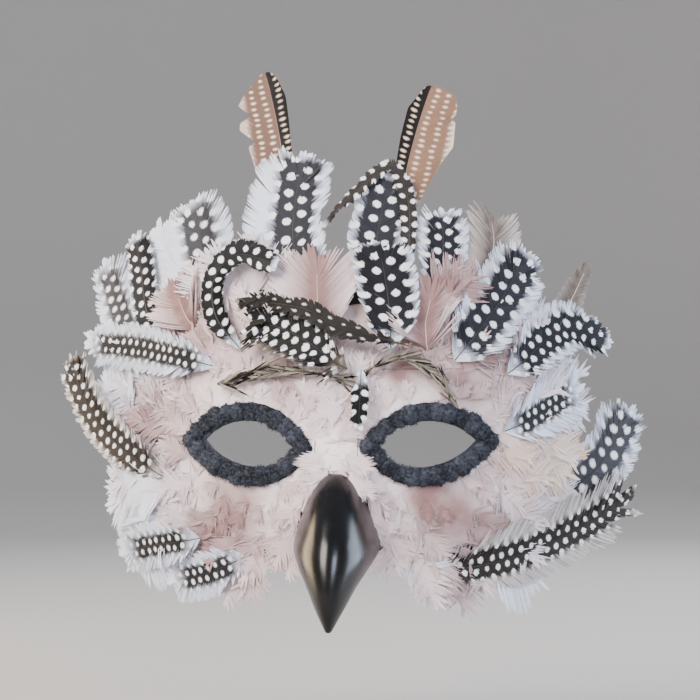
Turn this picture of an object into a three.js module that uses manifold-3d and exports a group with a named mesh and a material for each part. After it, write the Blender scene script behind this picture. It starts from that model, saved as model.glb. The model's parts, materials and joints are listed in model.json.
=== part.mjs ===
// A feathered bird half mask for masquerade wear: a moulded shell with a felt lining, a hollow hooked
// beak, a chenille braid round each eye, two strap eyelets, a covering of body feathers in patches,
// and spotted plumes and two tall wing quills standing round it.
// The wearer looks along -Y, +X is to the right of someone facing the mask, and +Z is up. The origin
// is on the back of the lining, between the eyes. Lengths are in millimetres.
import * as THREE from "three";
import { mergeVertices } from "three/addons/utils/BufferGeometryUtils.js";
import Module from "manifold-3d";

const wasm = await Module();
wasm.setup();

// The face that the mask follows: an arc from temple to temple and another from brow to cheek. Past
// the wrap distances the surface runs on straight, where feathers stand out from the head.
const FACE_RADIUS = 105;
const FACE_WRAP = 66;
const BROW_RADIUS = 130;
const BROW_WRAP = 28;
const BROW_START = 10;
const NOSE_HEIGHT = 8;
const NOSE_HALF_WIDTH = 11;
const NOSE_TOP = 12;
const NOSE_FULL = -14;

// Layers, as distances in front of the back of the lining.
const LINING = { back: 0, front: 1 };
const SHELL = { back: 1.3, front: 3.3 };
const TRIM = { back: 3.6, front: 6.2 };
const COVER = { back: 3.6, front: 7.6 };
const GAP = 0.3;

// Plumes lie in rows. The back rows are glued to the shell's rim, outside the covering, and the
// front rows lie over the covering.
const BACK_ROW = 4.3;
const BACK_PITCH = 1.9;
const FRONT_ROW = 8.9;
const FRONT_PITCH = 2.5;
const PLUME_THICKNESS = 1.1;

// Eyes.
const EYE_X = 33.5;
const EYE_HALF_LENGTH = 20.3;
const EYE_RISE = 9.2;
const EYE_DROP = 8.8;
const EYE_CANT = 1.6; // the outer corner's height above the inner one, halved
const TRIM_X = 35.2;
const TRIM_HALF_LENGTH = 25.6;
const TRIM_RISE = 16.4;
const TRIM_DROP = 16.2;

// Beak: seen from the front it widens from its top to the cheek line and narrows to a hooked tip.
const BEAK_TOP = -11;
const BEAK_TIP = -73;
const BEAK_WALL = 1.6;
const BEAK_HALF_WIDTH = 17;

// Strap eyelets.
const EYELET_X = 75;
const EYELET_Z = 4;
const EYELET_BORE = 2;
const EYELET_BARREL = 2.9;
const EYELET_FLANGE = 4.6;
const FLANGE_THICKNESS = 0.6;

const REACH = 150; // half the length of a cutting prism along Y
const SLAB = { halfWidth: 110, low: -66, high: 76, columns: 24, rows: 14 };

const COLOURS = {
  shell: [0x1d1c1e, 0.7],
  felt: [0x232226, 0.95],
  beak: [0x1b1712, 0.12],
  braid: [0x2e333e, 0.85],
  brass: [0xb08d4a, 0.35],
  down: [0xe6e2ea, 0.9],
  rose: [0xc6aaa2, 0.9],
  spotted: [0x3a3d46, 0.8],
  tan: [0xb2977f, 0.75],
};

const mask = new THREE.Group();

// ---- The face surface ----

// Height of a circular arc that runs on as its tangent past the limit.
function arc(t, radius, limit) {
  const s = Math.abs(t);
  if (s <= limit) return radius - Math.sqrt(radius ** 2 - s ** 2);
  const rise = Math.sqrt(radius ** 2 - limit ** 2);
  return radius - rise + ((s - limit) * limit) / rise;
}

function faceY(x, z) {
  const brow = Math.max(0, Math.abs(z) - BROW_START);
  const nose = THREE.MathUtils.smoothstep(-z, -NOSE_TOP, -NOSE_FULL);
  const ridge = NOSE_HEIGHT * Math.exp(-((x / NOSE_HALF_WIDTH) ** 2)) * nose;
  return (
    arc(x, FACE_RADIUS, FACE_WRAP) + arc(brow, BROW_RADIUS, BROW_WRAP) - ridge
  );
}

const BRIDGE_Y = faceY(0, 0); // moved to Y 0, so that the origin lies on the lining

function faceNormal(x, z) {
  const step = 0.5;
  const slopeX = (faceY(x + step, z) - faceY(x - step, z)) / (2 * step);
  const slopeZ = (faceY(x, z + step) - faceY(x, z - step)) / (2 * step);
  return new THREE.Vector3(slopeX, -1, slopeZ).normalize();
}

// The point in front of the face at (x, z), a distance out along the surface's normal.
function facePoint(x, z, out) {
  const point = new THREE.Vector3(x, faceY(x, z) - BRIDGE_Y, z);
  return point.addScaledVector(faceNormal(x, z), out);
}

// ---- Solids ----

function solid(geometry) {
  const loose = geometry.index ? geometry.toNonIndexed() : geometry;
  const bare = new THREE.BufferGeometry();
  bare.setAttribute("position", loose.getAttribute("position"));
  const merged = mergeVertices(bare, 1e-4);
  return new wasm.Manifold(
    new wasm.Mesh({
      numProp: 3,
      vertProperties: merged.attributes.position.array,
      triVerts: new Uint32Array(merged.index.array),
    }),
  );
}

function geometryOf(cut) {
  const made = cut.getMesh();
  const geometry = new THREE.BufferGeometry();
  geometry.setAttribute(
    "position",
    new THREE.BufferAttribute(made.vertProperties, 3),
  );
  geometry.setIndex(new THREE.BufferAttribute(made.triVerts, 1));
  geometry.computeVertexNormals();
  return geometry;
}

function place(name, finish, geometry) {
  const [color, roughness] = COLOURS[finish];
  const metalness = finish === "brass" ? 1 : 0;
  const material = new THREE.MeshStandardMaterial({
    color,
    roughness,
    metalness,
  });
  const mesh = new THREE.Mesh(geometry, material);
  mesh.name = name;
  mask.add(mesh);
  return mesh;
}

// A curved slab that follows the face between two distances in front of it. Every slab has the same
// grid of X and Z and the same diagonals, so slabs at different distances never meet.
function slab(back, front) {
  const { columns, rows, halfWidth, low, high } = SLAB;
  const width = columns + 1;
  const positions = [];
  for (const out of [front, back])
    for (let row = 0; row <= rows; row++)
      for (let column = 0; column <= columns; column++) {
        const u = (2 * column) / columns - 1;
        const x = halfWidth * (0.45 * u + 0.55 * u ** 3); // closer columns near the nose
        const z = low + ((high - low) * row) / rows;
        positions.push(x, faceY(x, z) - BRIDGE_Y + out / faceNormal(x, z).y, z);
      }
  const layer = width * (rows + 1);
  const faces = [];
  for (let row = 0; row < rows; row++)
    for (let column = 0; column < columns; column++) {
      const a = row * width + column;
      const [b, c, d] = [a + 1, a + 1 + width, a + width];
      faces.push(a, b, c, a, c, d);
      faces.push(layer + a, layer + c, layer + b, layer + a, layer + d, layer + c);
    }
  const rim = [];
  for (let column = 0; column < columns; column++) rim.push(column);
  for (let row = 0; row < rows; row++) rim.push(row * width + columns);
  for (let column = columns; column > 0; column--) rim.push(rows * width + column);
  for (let row = rows; row > 0; row--) rim.push(row * width);
  rim.forEach((a, i) => {
    const b = rim[(i + 1) % rim.length];
    faces.push(a, layer + a, layer + b, a, layer + b, b);
  });
  const geometry = new THREE.BufferGeometry();
  geometry.setAttribute("position", new THREE.Float32BufferAttribute(positions, 3));
  geometry.setIndex(faces);
  return solid(geometry);
}

// An outline in X and Z, extruded right through the mask along Y.
function prism(outline) {
  const bar = new THREE.ExtrudeGeometry(outline, {
    depth: 2 * REACH,
    bevelEnabled: false,
    curveSegments: 10,
  });
  bar.translate(0, 0, -REACH);
  bar.rotateX(Math.PI / 2);
  return solid(bar);
}

function rectangle(left, right, low, high) {
  const corners = [
    [left, low],
    [right, low],
    [right, high],
    [left, high],
  ];
  return new THREE.Shape(corners.map(([x, z]) => new THREE.Vector2(x, z)));
}

// A closed outline's points, the same on both sides, from those of its right half, top to bottom.
function bothSides(rightHalf) {
  const right = rightHalf.map(([x, z]) => new THREE.Vector2(x, z));
  const left = right.slice(1, -1).reverse();
  return [...right, ...left.map((p) => new THREE.Vector2(-p.x, p.y))];
}

const polygon = (rightHalf) => new THREE.Shape(bothSides(rightHalf));

// The same as one smooth curve, moved out from the origin by a distance.
function mirrored(rightHalf, grow = 0) {
  const all = bothSides(rightHalf);
  for (const p of all) p.addScaledVector(p.clone().normalize(), grow);
  const curve = new THREE.SplineCurve([...all, all[0]]);
  return new THREE.Shape(curve.getPoints(56).slice(0, -1));
}

// An eye-shaped outline with a corner at each end. The side is 1 on the right and -1 on the left.
function almond(side, centre, halfLength, rise, drop) {
  const corner = (end) => [
    side * (centre + end * halfLength),
    end * EYE_CANT,
  ];
  const pull = 0.5 * halfLength; // the curve's handles, from the middle
  const [inX, inZ] = corner(-1);
  const [outX, outZ] = corner(1);
  const handle = (end, height) => [
    side * (centre + end * pull),
    (4 / 3) * height + 0.5 * end * EYE_CANT,
  ];
  const shape = new THREE.Shape();
  shape.moveTo(inX, inZ);
  shape.bezierCurveTo(...handle(-1, rise), ...handle(1, rise), outX, outZ);
  shape.bezierCurveTo(...handle(1, -drop), ...handle(-1, -drop), inX, inZ);
  return shape;
}

const eyeHole = (side) =>
  almond(side, EYE_X, EYE_HALF_LENGTH, EYE_RISE, EYE_DROP);
const trimEdge = (side, grow = 0) =>
  almond(
    side,
    TRIM_X,
    TRIM_HALF_LENGTH + grow,
    TRIM_RISE + grow,
    TRIM_DROP + grow,
  );

// ---- Shell and lining ----

const SHELL_OUTLINE = [
  [0, 59],
  [30, 61],
  [58, 54],
  [76, 37],
  [84, 10],
  [80, -16],
  [66, -37],
  [40, -46],
  [19, -42],
  [0, -41],
];
const RIM = 5; // the shell's rim that the covering leaves bare

// The arch that lets the wearer's nose into the beak.
function noseArch(halfWidth, top) {
  const shape = new THREE.Shape();
  shape.moveTo(-halfWidth, -70);
  shape.lineTo(halfWidth, -70);
  shape.lineTo(halfWidth, top - halfWidth);
  shape.absarc(0, top - halfWidth, halfWidth, 0, Math.PI, false);
  return shape;
}

const sides = { left: -1, right: 1 };
const eyelets = Object.values(sides).map((side) => {
  const out = faceNormal(side * EYELET_X, EYELET_Z);
  return { at: facePoint(side * EYELET_X, EYELET_Z, 0), out };
});

// Turns a piece whose axis is +Y to lie along an eyelet's outward normal.
function onEyelet(geometry, { at, out }) {
  const up = new THREE.Vector3(0, 1, 0);
  const turn = new THREE.Quaternion().setFromUnitVectors(up, out);
  geometry.applyQuaternion(turn);
  return geometry.translate(at.x, at.y, at.z);
}

function drill(piece, radius) {
  return eyelets.reduce((left, eyelet) => {
    const bit = new THREE.CylinderGeometry(radius, radius, 40, 20);
    return left.subtract(solid(onEyelet(bit, eyelet)));
  }, piece);
}

function openEyes(piece) {
  return Object.values(sides).reduce(
    (left, side) => left.subtract(prism(eyeHole(side))),
    piece,
  );
}

const shell = openEyes(
  slab(SHELL.back, SHELL.front)
    .intersect(prism(mirrored(SHELL_OUTLINE)))
    .subtract(prism(noseArch(11.5, -17))),
);
place("mask_shell", "shell", geometryOf(drill(shell, EYELET_BARREL + GAP)));

const lining = openEyes(
  slab(LINING.back, LINING.front)
    .intersect(prism(mirrored(SHELL_OUTLINE, -2)))
    .subtract(prism(noseArch(12.5, -15))),
);
place("felt_lining", "felt", geometryOf(drill(lining, EYELET_BARREL + GAP)));

// ---- Eyelets ----

function eyeletGeometry() {
  const backFace = LINING.back - GAP;
  const frontFace = SHELL.front + GAP;
  const profile = [
    [EYELET_BORE, backFace - FLANGE_THICKNESS],
    [EYELET_FLANGE, backFace - FLANGE_THICKNESS],
    [EYELET_FLANGE, backFace],
    [EYELET_BARREL, backFace],
    [EYELET_BARREL, frontFace],
    [EYELET_FLANGE, frontFace],
    [EYELET_FLANGE, frontFace + FLANGE_THICKNESS],
    [EYELET_BORE, frontFace + FLANGE_THICKNESS],
    [EYELET_BORE, backFace - FLANGE_THICKNESS],
  ];
  return new THREE.LatheGeometry(
    profile.map(([r, h]) => new THREE.Vector2(r, h)),
    18,
  );
}

Object.keys(sides).forEach((side, i) => {
  place(`strap_eyelet_${side}`, "brass", onEyelet(eyeletGeometry(), eyelets[i]));
});

// ---- Eye trims ----

for (const [name, side] of Object.entries(sides)) {
  const band = slab(TRIM.back, TRIM.front)
    .intersect(prism(trimEdge(side)))
    .subtract(prism(eyeHole(side)));
  place(`eye_trim_${name}`, "braid", geometryOf(band));
}

// ---- Beak ----

// Half the beak's width at a height, and how far forward its ridge and its side edges stand.
const beakWidth = new THREE.SplineCurve(
  [
    [BEAK_TOP, 3],
    [-16, 8.6],
    [-25, 13.4],
    [-34, 16.2],
    [-40, BEAK_HALF_WIDTH],
    [-46, 14.8],
    [-56, 9.6],
    [-66, 4.4],
    [BEAK_TIP, 1.1],
  ].map(([z, x]) => new THREE.Vector2(z, x)),
);
const beakRidge = new THREE.SplineCurve(
  [
    [BEAK_TOP, -10],
    [-18, -20],
    [-28, -30],
    [-40, -37],
    [-54, -40],
    [-66, -39],
    [BEAK_TIP, -36],
  ].map(([z, y]) => new THREE.Vector2(z, y)),
);
const beakEdge = new THREE.SplineCurve(
  [
    [BEAK_TOP, 6],
    [-26, 6],
    [-38, 4],
    [-44, -7],
    [-56, -23],
    [-66, -32],
    [BEAK_TIP, -35],
  ].map(([z, y]) => new THREE.Vector2(z, y)),
);

// A spline's second coordinate where its first one has the given value.
function readSpline(curve, z) {
  let low = 0;
  let high = 1;
  for (let i = 0; i < 24; i++) {
    const middle = (low + high) / 2;
    if (curve.getPoint(middle).x > z) low = middle;
    else high = middle;
  }
  return curve.getPoint((low + high) / 2).y;
}

function beakGeometry() {
  const box = new THREE.BoxGeometry(2, 2, 2, 12, 1, 16);
  const at = box.getAttribute("position");
  for (let i = 0; i < at.count; i++) {
    const inner = at.getY(i) > 0;
    const turn = (at.getX(i) * Math.PI) / 2;
    const z = THREE.MathUtils.mapLinear(at.getZ(i), 1, -1, BEAK_TOP, BEAK_TIP);
    const width = readSpline(beakWidth, z);
    const wall = inner ? Math.min(BEAK_WALL, 0.6 * width) : 0;
    const edge = readSpline(beakEdge, z);
    const ridge = readSpline(beakRidge, z) + wall;
    const rise = Math.cos(turn) ** 0.85;
    at.setXYZ(
      i,
      (width - wall) * Math.sin(turn),
      edge + Math.min(0, ridge - edge) * rise,
      z,
    );
  }
  return box;
}

const behindBeak = slab(-30, SHELL.front + GAP);
place("beak", "beak", geometryOf(solid(beakGeometry()).subtract(behindBeak)));

// ---- Covering of body feathers ----

// The beak's outline from the front, a little larger, as right-hand points from top to bottom.
const beakOutline = () => {
  const top = BEAK_TOP + 1.2;
  const low = -52;
  const heights = Array.from({ length: 12 }, (_, i) => top + (i * (low - top)) / 11);
  const edge = heights.map((z) => [
    readSpline(beakWidth, Math.min(z, BEAK_TOP)) + 1.2,
    z,
  ]);
  return polygon([[0, top], ...edge, [0, low]]);
};

let covering = slab(COVER.back, COVER.front)
  .intersect(prism(mirrored(SHELL_OUTLINE, -RIM)))
  .subtract(prism(beakOutline()));
for (const side of Object.values(sides))
  covering = covering.subtract(prism(trimEdge(side, GAP)));
covering = drill(covering, EYELET_FLANGE + GAP);

// Each patch is a rectangle of the covering: left, right, low and high on the right-hand side.
const PATCHES = {
  brow_cover: [8.6, 62, 2, 30],
  forehead_cover: [0, 96, 30, 70],
  temple_cover: [62, 96, -12, 30],
  cheek_cover: [8.6, 62, -60, 2],
  jowl_cover: [62, 96, -60, -12],
};
const SEAM = 0.2; // half the gap between neighbouring patches

function patch(left, right, low, high) {
  const shape = rectangle(left + SEAM, right - SEAM, low + SEAM, high - SEAM);
  return geometryOf(covering.intersect(prism(shape)));
}

place("bridge_cover", "down", patch(-8.6, 8.6, -13, 30));
for (const [name, [inner, outer, low, high]] of Object.entries(PATCHES)) {
  place(`${name}_left`, "rose", patch(-outer, -inner, low, high));
  place(`${name}_right`, "rose", patch(inner, outer, low, high));
}

// ---- Plumes ----

// A plume follows a route across the face, from its quill's root to its tip, in the given row. Lift
// is how much further out its tip stands than its root.
function plumeGeometry(route, width, out, lift, rings) {
  const spine = new THREE.SplineCurve(
    route.map(([x, z]) => new THREE.Vector2(x, z)),
  );
  const leaf = new THREE.SphereGeometry(1, 6, rings);
  const at = leaf.getAttribute("position");
  const spineAt = (t) => {
    const p = spine.getPoint(t);
    return facePoint(p.x, p.y, out + lift * t * t);
  };
  for (let i = 0; i < at.count; i++) {
    const t = THREE.MathUtils.clamp((1 + at.getY(i)) / 2, 0, 1);
    const centre = spineAt(t);
    const low = Math.max(0, t - 0.02);
    const high = Math.min(1, t + 0.02);
    const along = spineAt(high).sub(spineAt(low)).normalize();
    const p = spine.getPoint(t);
    const outward = faceNormal(p.x, p.y);
    const across = new THREE.Vector3().crossVectors(along, outward).normalize();
    const through = new THREE.Vector3().crossVectors(across, along);
    const spread = 0.62 + 0.38 * t; // narrower towards the quill
    centre.addScaledVector(across, (at.getX(i) * spread * width) / 2);
    centre.addScaledVector(through, (at.getZ(i) * PLUME_THICKNESS) / 2);
    at.setXYZ(i, centre.x, centre.y, centre.z);
  }
  return leaf;
}

// name: finish, row (back rows are under 0), width, lift, then the route's points as X and Z.
const PLUMES = {
  crest_quill_left: ["tan", -3, 20, -3, [[-17, 57], [-23, 90], [-32, 147.5]]],
  crest_quill_right: ["tan", -3, 19, -3, [[20, 57], [26, 95], [34, 142]]],
  crown_plume_left: ["spotted", -2, 35, 0, [[-14, 57], [-17, 85], [-20, 115]]],
  crown_plume_right: ["spotted", -2, 24, 0, [[16, 57], [17, 80], [16, 108]]],
  arching_plume: [
    "spotted", -1, 6, 0, [[24, 56], [25, 90], [19, 107], [7, 99], [-7, 83]],
  ],
  crown_plume_far_left: ["spotted", -2, 30, 0, [[-50, 53], [-54, 75], [-59, 97.5]]],
  crown_plume_left_back: ["spotted", -3, 16, 0, [[-60, 49], [-68, 70], [-77, 91]]],
  side_plume_left_dark: ["spotted", -1, 14, 0, [[-72, 38], [-78, 62], [-84, 83]]],
  side_plume_left_pale: ["spotted", -2, 17, 0, [[-78, 32], [-90, 56], [-100, 73]]],
  temple_down_left: ["down", -2, 17, 0, [[-83, 4], [-91, 16], [-95, 32]]],
  crown_plume_right_inner: ["spotted", -2, 19, 0, [[37, 56], [38, 75], [37.5, 94]]],
  down_plume_right: ["tan", -3, 20, 0, [[56, 52], [56, 74], [55, 97]]],
  side_spike_right: ["tan", -2, 9, 0, [[76, 36], [84, 52], [93, 72]]],
  side_plume_right_low: ["spotted", -2, 23, 0, [[79, -22], [97, -9], [110, 15]]],
  jaw_down_right: ["down", -2, 11, 0, [[56, -43], [67, -50], [79, -53]]],
  jaw_tuft_right: ["down", -2, 9, 0, [[27, -44], [36, -51], [46, -56]]],
  side_plume_left_sweep: ["spotted", 1, 15, 2, [[-67, -13], [-88, 2], [-100, 17], [-107, 33]]],
  temple_plume_left: ["spotted", 0, 14, 2, [[-48, 30], [-75, 36], [-103, 38]]],
  cheek_tuft_left: ["down", 0, 15, 0, [[-66, -17], [-79, -20], [-94, -24]]],
  jaw_plume_left: ["down", 0, 19, 0, [[-68, -28], [-75, -41], [-80, -53]]],
  jaw_plume_left_small: ["spotted", 1, 10, 0, [[-52, -36], [-69, -39], [-86, -43]]],
  jaw_plume_left_inner: ["spotted", 0, 9, 0, [[-35, -43], [-50, -50], [-67, -54]]],
  curled_plume: [
    "spotted", 1, 12, 3, [[-36, 36], [-44, 48], [-45, 62], [-36, 72], [-21, 67]],
  ],
  brow_plume_lower: ["spotted", 2, 21, 1, [[4, 28], [-14, 39], [-37, 46]]],
  brow_plume_upper: ["spotted", 3, 11, 1, [[25, 36], [2, 42], [-12, 50], [-36, 53]]],
  centre_plume_dark: ["spotted", 1, 26, 1, [[20, 36], [18, 57], [14, 78]]],
  brow_strand_left: ["spotted", 0, 3.5, 0, [[2, 25], [-20, 28], [-47, 22]]],
  brow_strand_right: ["spotted", 0, 4, 0, [[9, 26], [22, 32], [36, 25], [44, 13]]],
  bridge_plume: ["spotted", 1, 6, 0, [[9, 28], [8.5, 15], [7.5, 2]]],
  crown_plume_right_dark: ["spotted", 0, 23, 1, [[43, 32], [56, 52], [68, 75]]],
  side_plume_right_high: ["spotted", 1, 16, 1, [[61, 27], [80, 43], [99, 36]]],
  side_plume_right_mid: ["spotted", 0, 14, 0, [[61, 5], [76, 14], [91, 23]]],
  jaw_plume_right: ["spotted", 0, 13, 2, [[36, -49], [62, -43], [86, -33], [111, -18]]],
  rose_plume_centre: ["rose", 0, 22, 0, [[-6, 39], [-8, 58], [-8, 77]]],
  rose_plume_left: ["rose", 0, 18, 0, [[-55, 44], [-60, 54], [-64, 66]]],
  rose_plume_right: ["rose", 0, 12, 0, [[33, 36], [32, 48], [33, 66]]],
};

for (const [name, [finish, row, width, lift, route]] of Object.entries(PLUMES)) {
  const out = row < 0 ? BACK_ROW + (row + 3) * BACK_PITCH : FRONT_ROW + row * FRONT_PITCH;
  const rings = route.length > 3 ? 12 : 8;
  place(name, finish, plumeGeometry(route, width, out, lift, rings));
}

export default mask;
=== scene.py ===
# %% [markdown]
# # A feathered half mask
# The mask is a curved shell that carries layers of feathers: tall wing quills, spotted plumes and
# small body feathers, with a chenille braid round each eye and a glossy beak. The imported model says
# where each piece is, and this script grows the real surfaces there. The stage and the camera come
# first, then a few helpers, then the feathers and the hard parts.

# %% Load the frame
import json
import math

import bmesh
import bpy
import numpy as np
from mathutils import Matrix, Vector

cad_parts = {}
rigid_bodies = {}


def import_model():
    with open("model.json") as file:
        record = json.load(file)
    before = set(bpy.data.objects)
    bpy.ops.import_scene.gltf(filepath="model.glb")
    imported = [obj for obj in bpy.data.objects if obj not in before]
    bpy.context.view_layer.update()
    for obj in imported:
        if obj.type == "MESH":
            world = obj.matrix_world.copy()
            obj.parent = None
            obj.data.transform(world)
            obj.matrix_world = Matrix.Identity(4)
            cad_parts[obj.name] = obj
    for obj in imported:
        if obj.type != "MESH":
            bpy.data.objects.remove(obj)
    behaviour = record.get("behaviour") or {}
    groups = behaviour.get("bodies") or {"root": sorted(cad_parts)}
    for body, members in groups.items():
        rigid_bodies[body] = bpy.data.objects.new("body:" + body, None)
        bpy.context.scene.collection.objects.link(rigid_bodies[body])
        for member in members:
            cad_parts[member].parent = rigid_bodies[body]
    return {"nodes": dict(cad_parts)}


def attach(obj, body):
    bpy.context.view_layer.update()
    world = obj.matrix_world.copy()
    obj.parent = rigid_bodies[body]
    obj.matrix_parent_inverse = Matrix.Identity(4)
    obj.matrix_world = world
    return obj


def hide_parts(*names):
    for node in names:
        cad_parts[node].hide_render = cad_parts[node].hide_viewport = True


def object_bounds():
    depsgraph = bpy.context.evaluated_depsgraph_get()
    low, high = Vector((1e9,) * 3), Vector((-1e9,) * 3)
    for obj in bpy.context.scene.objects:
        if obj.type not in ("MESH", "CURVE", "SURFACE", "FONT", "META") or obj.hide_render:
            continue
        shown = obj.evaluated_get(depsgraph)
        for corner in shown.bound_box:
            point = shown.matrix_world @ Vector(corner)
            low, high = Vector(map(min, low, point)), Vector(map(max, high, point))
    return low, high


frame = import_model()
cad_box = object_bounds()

MM = 0.001
LOW, HIGH = (Vector(corner) for corner in cad_box)
print("the model's box in mm:", [round(v / MM) for v in (*LOW, *HIGH)])


# %% [markdown]
# ## Camera
# The camera stands level with the mask, a little to its right, and far enough away that the beak
# isn't swollen by perspective. Its lens follows from that distance and from the width it takes in.

# %% Camera
CAMERA_AZIMUTH = math.radians(5.5)
CAMERA_DISTANCE = 1.4
VIEW_WIDTH = 0.273  # what the picture takes in at the mask
aim = Vector((5 * MM, 0, 37 * MM))

camera = bpy.data.objects.new("camera", bpy.data.cameras.new("camera"))
bpy.context.scene.collection.objects.link(camera)
camera.data.lens = camera.data.sensor_width * CAMERA_DISTANCE / VIEW_WIDTH
away = Vector((math.sin(CAMERA_AZIMUTH), -math.cos(CAMERA_AZIMUTH), 0))
camera.location = aim + CAMERA_DISTANCE * away
camera.rotation_euler = (-away).to_track_quat("-Z", "Y").to_euler()
bpy.context.scene.camera = camera
print("the camera's lens is", round(camera.data.lens), "mm")


# %% [markdown]
# ## Colours and nodes
# A maker picks a colour as a hex code, but light adds up in linear values, so one function
# turns the first into the second. Every material and every tree of Geometry Nodes here is built in
# the script, and one small function adds a node, sets it and links what feeds it.

# %% Colours and nodes
# The kinds of node that come up most, under shorter names.
MATH, VECTOR_MATH, MIX = "ShaderNodeMath", "ShaderNodeVectorMath", "ShaderNodeMix"
MAP_RANGE, NOISE, BUMP = "ShaderNodeMapRange", "ShaderNodeTexNoise", "ShaderNodeBump"
COMBINE, SEPARATE = "ShaderNodeCombineXYZ", "ShaderNodeSeparateXYZ"
COORDINATES, ATTRIBUTE = "ShaderNodeTexCoord", "ShaderNodeAttribute"
STORE, READ = "GeometryNodeStoreNamedAttribute", "GeometryNodeInputNamedAttribute"
REALIZE, INSTANCE = "GeometryNodeRealizeInstances", "GeometryNodeInstanceOnPoints"
JOIN, SET_MATERIAL = "GeometryNodeJoinGeometry", "GeometryNodeSetMaterial"
SET_POSITION, RANDOM = "GeometryNodeSetPosition", "FunctionNodeRandomValue"
TO_ROTATION = "FunctionNodeAxesToRotation"
# A number or a direction kept on every point.
ON_POINTS = {"data_type": "FLOAT", "domain": "POINT"}
WAYS_ON_POINTS = {"data_type": "FLOAT_VECTOR", "domain": "POINT"}


def srgb(code):
    """A linear colour from a hex code as it is seen on a screen."""
    parts = [int(code[i : i + 2], 16) / 255 for i in (1, 3, 5)]
    line = [c / 12.92 if c <= 0.04045 else ((c + 0.055) / 1.055) ** 2.4 for c in parts]
    return (*line, 1.0)


def add(tree, kind, inputs=(), **settings):
    """Adds a node; inputs is a list in the sockets' order or a dict, of values, nodes or sockets."""
    node = tree.nodes.new(kind)
    for key, value in settings.items():
        setattr(node, key, value)
    pairs = inputs.items() if isinstance(inputs, dict) else enumerate(inputs)
    for key, value in pairs:
        if isinstance(key, str):
            socket = next(s for s in node.inputs if s.enabled and s.name == key)
        else:
            socket = node.inputs[key]
        if isinstance(value, bpy.types.Node):
            value = next(s for s in value.outputs if s.enabled)
        if isinstance(value, bpy.types.NodeSocket):
            tree.links.new(value, socket)
        else:
            socket.default_value = value
    return node


def new_material(name, **plain):
    """A material with a Principled shader, whose plain values are set on its sockets by name."""
    material = bpy.data.materials.new(name)
    material.use_nodes = True
    shader = material.node_tree.nodes["Principled BSDF"]
    for key, value in plain.items():
        socket = shader.inputs[key.replace("_", " ").title().replace("Ior", "IOR")]
        socket.default_value = value
    return material, material.node_tree, shader


# %% [markdown]
# ## Stage and light
# The stage is a shallow bowl of pale card, so that the view from any side ends in the same soft
# grey. It is a profile that is spun round the upright axis. One large soft light does most of the
# work, as a window would; a warm and a cool one at the sides draw the beak's two edges.

# %% Stage and light
FLOOR_DROP = 0.05
CARD = "#b3b1af"
ROOM_COLOUR, ROOM_LIGHT = "#dde5f6", 0.55
# The bowl's profile in metres: radius and height.
BOWL = [(0, 0), (0.9, 0), (1.7, 0), (2.0, 0.03), (2.25, 0.15), (2.4, 0.4), (2.45, 0.8), (2.47, 1.6)]

stage_mesh = bpy.data.meshes.new("stage")
shape = bmesh.new()
corners = [shape.verts.new((r, 0, h)) for r, h in BOWL]
edges = [shape.edges.new(pair) for pair in zip(corners, corners[1:])]
bmesh.ops.spin(shape, geom=corners + edges, cent=(0, 0, 0), axis=(0, 0, 1), angle=math.tau, steps=64)
bmesh.ops.remove_doubles(shape, verts=shape.verts, dist=1e-5)
bmesh.ops.recalc_face_normals(shape, faces=shape.faces)
shape.to_mesh(stage_mesh)
shape.free()
stage_mesh.shade_smooth()
stage = bpy.data.objects.new("stage", stage_mesh)
stage.location.z = LOW.z - FLOOR_DROP
bpy.context.scene.collection.objects.link(stage)
card, *_ = new_material("matt_card", base_color=srgb(CARD), roughness=0.9)
stage_mesh.materials.append(card)

world = bpy.data.worlds.new("studio")
bpy.context.scene.world = world
world.use_nodes = True
room = world.node_tree.nodes["Background"].inputs
room["Color"].default_value = srgb(ROOM_COLOUR)
room["Strength"].default_value = ROOM_LIGHT

# name: azimuth, height, distance, size, power, colour
SOFT_LIGHTS = {
    "key": (-35, 0.75, 1.25, 0.8, 42, "#fff6ee"),
    "fill": (38, 0.45, 1.3, 0.5, 13, "#e0eaff"),
    "back": (165, 0.95, 1.3, 0.8, 20, "#ffffff"),
    "left edge": (-114, 0.1, 1.0, 0.6, 11, "#ffe4bd"),
    "right edge": (114, 0.1, 1.0, 0.6, 10, "#dcecff"),
}
for name, (azimuth, height, distance, size, power, colour) in SOFT_LIGHTS.items():
    light = bpy.data.objects.new(name, bpy.data.lights.new(name, "AREA"))
    light.data.size = size
    light.data.energy = power
    light.data.color = srgb(colour)[:3]
    turn = math.radians(azimuth)
    place = aim + Vector((math.sin(turn) * distance, -math.cos(turn) * distance, height))
    light.location = place
    light.rotation_euler = (aim - place).to_track_quat("-Z", "Y").to_euler()
    bpy.context.scene.collection.objects.link(light)
print("stage and", len(SOFT_LIGHTS), "soft lights")


# %% [markdown]
# ## The face under the feathers
# Every layer follows one surface: an arc round the head that runs on straight past the cheekbones,
# a gentler arc from brow to cheek, and a low ridge for the nose. The directions away from the head
# come from it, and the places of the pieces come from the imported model's own solids.

# %% The face's surface
FACE_RADIUS, FACE_WRAP = 105 * MM, 66 * MM
BROW_RADIUS, BROW_WRAP, BROW_START = 130 * MM, 28 * MM, 10 * MM
NOSE_HEIGHT, NOSE_HALF_WIDTH = 8 * MM, 11 * MM
NOSE_TOP, NOSE_FULL = 12 * MM, -14 * MM


def unit(value):
    """The value, kept between 0 and 1."""
    return min(1, max(0, value))


def arc(t, radius, limit):
    """How far back a circular arc is at t. It runs on straight past the limit."""
    bend = min(abs(t), limit)
    height = math.sqrt(radius**2 - bend**2)
    return radius - height + (abs(t) - bend) * bend / height


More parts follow.
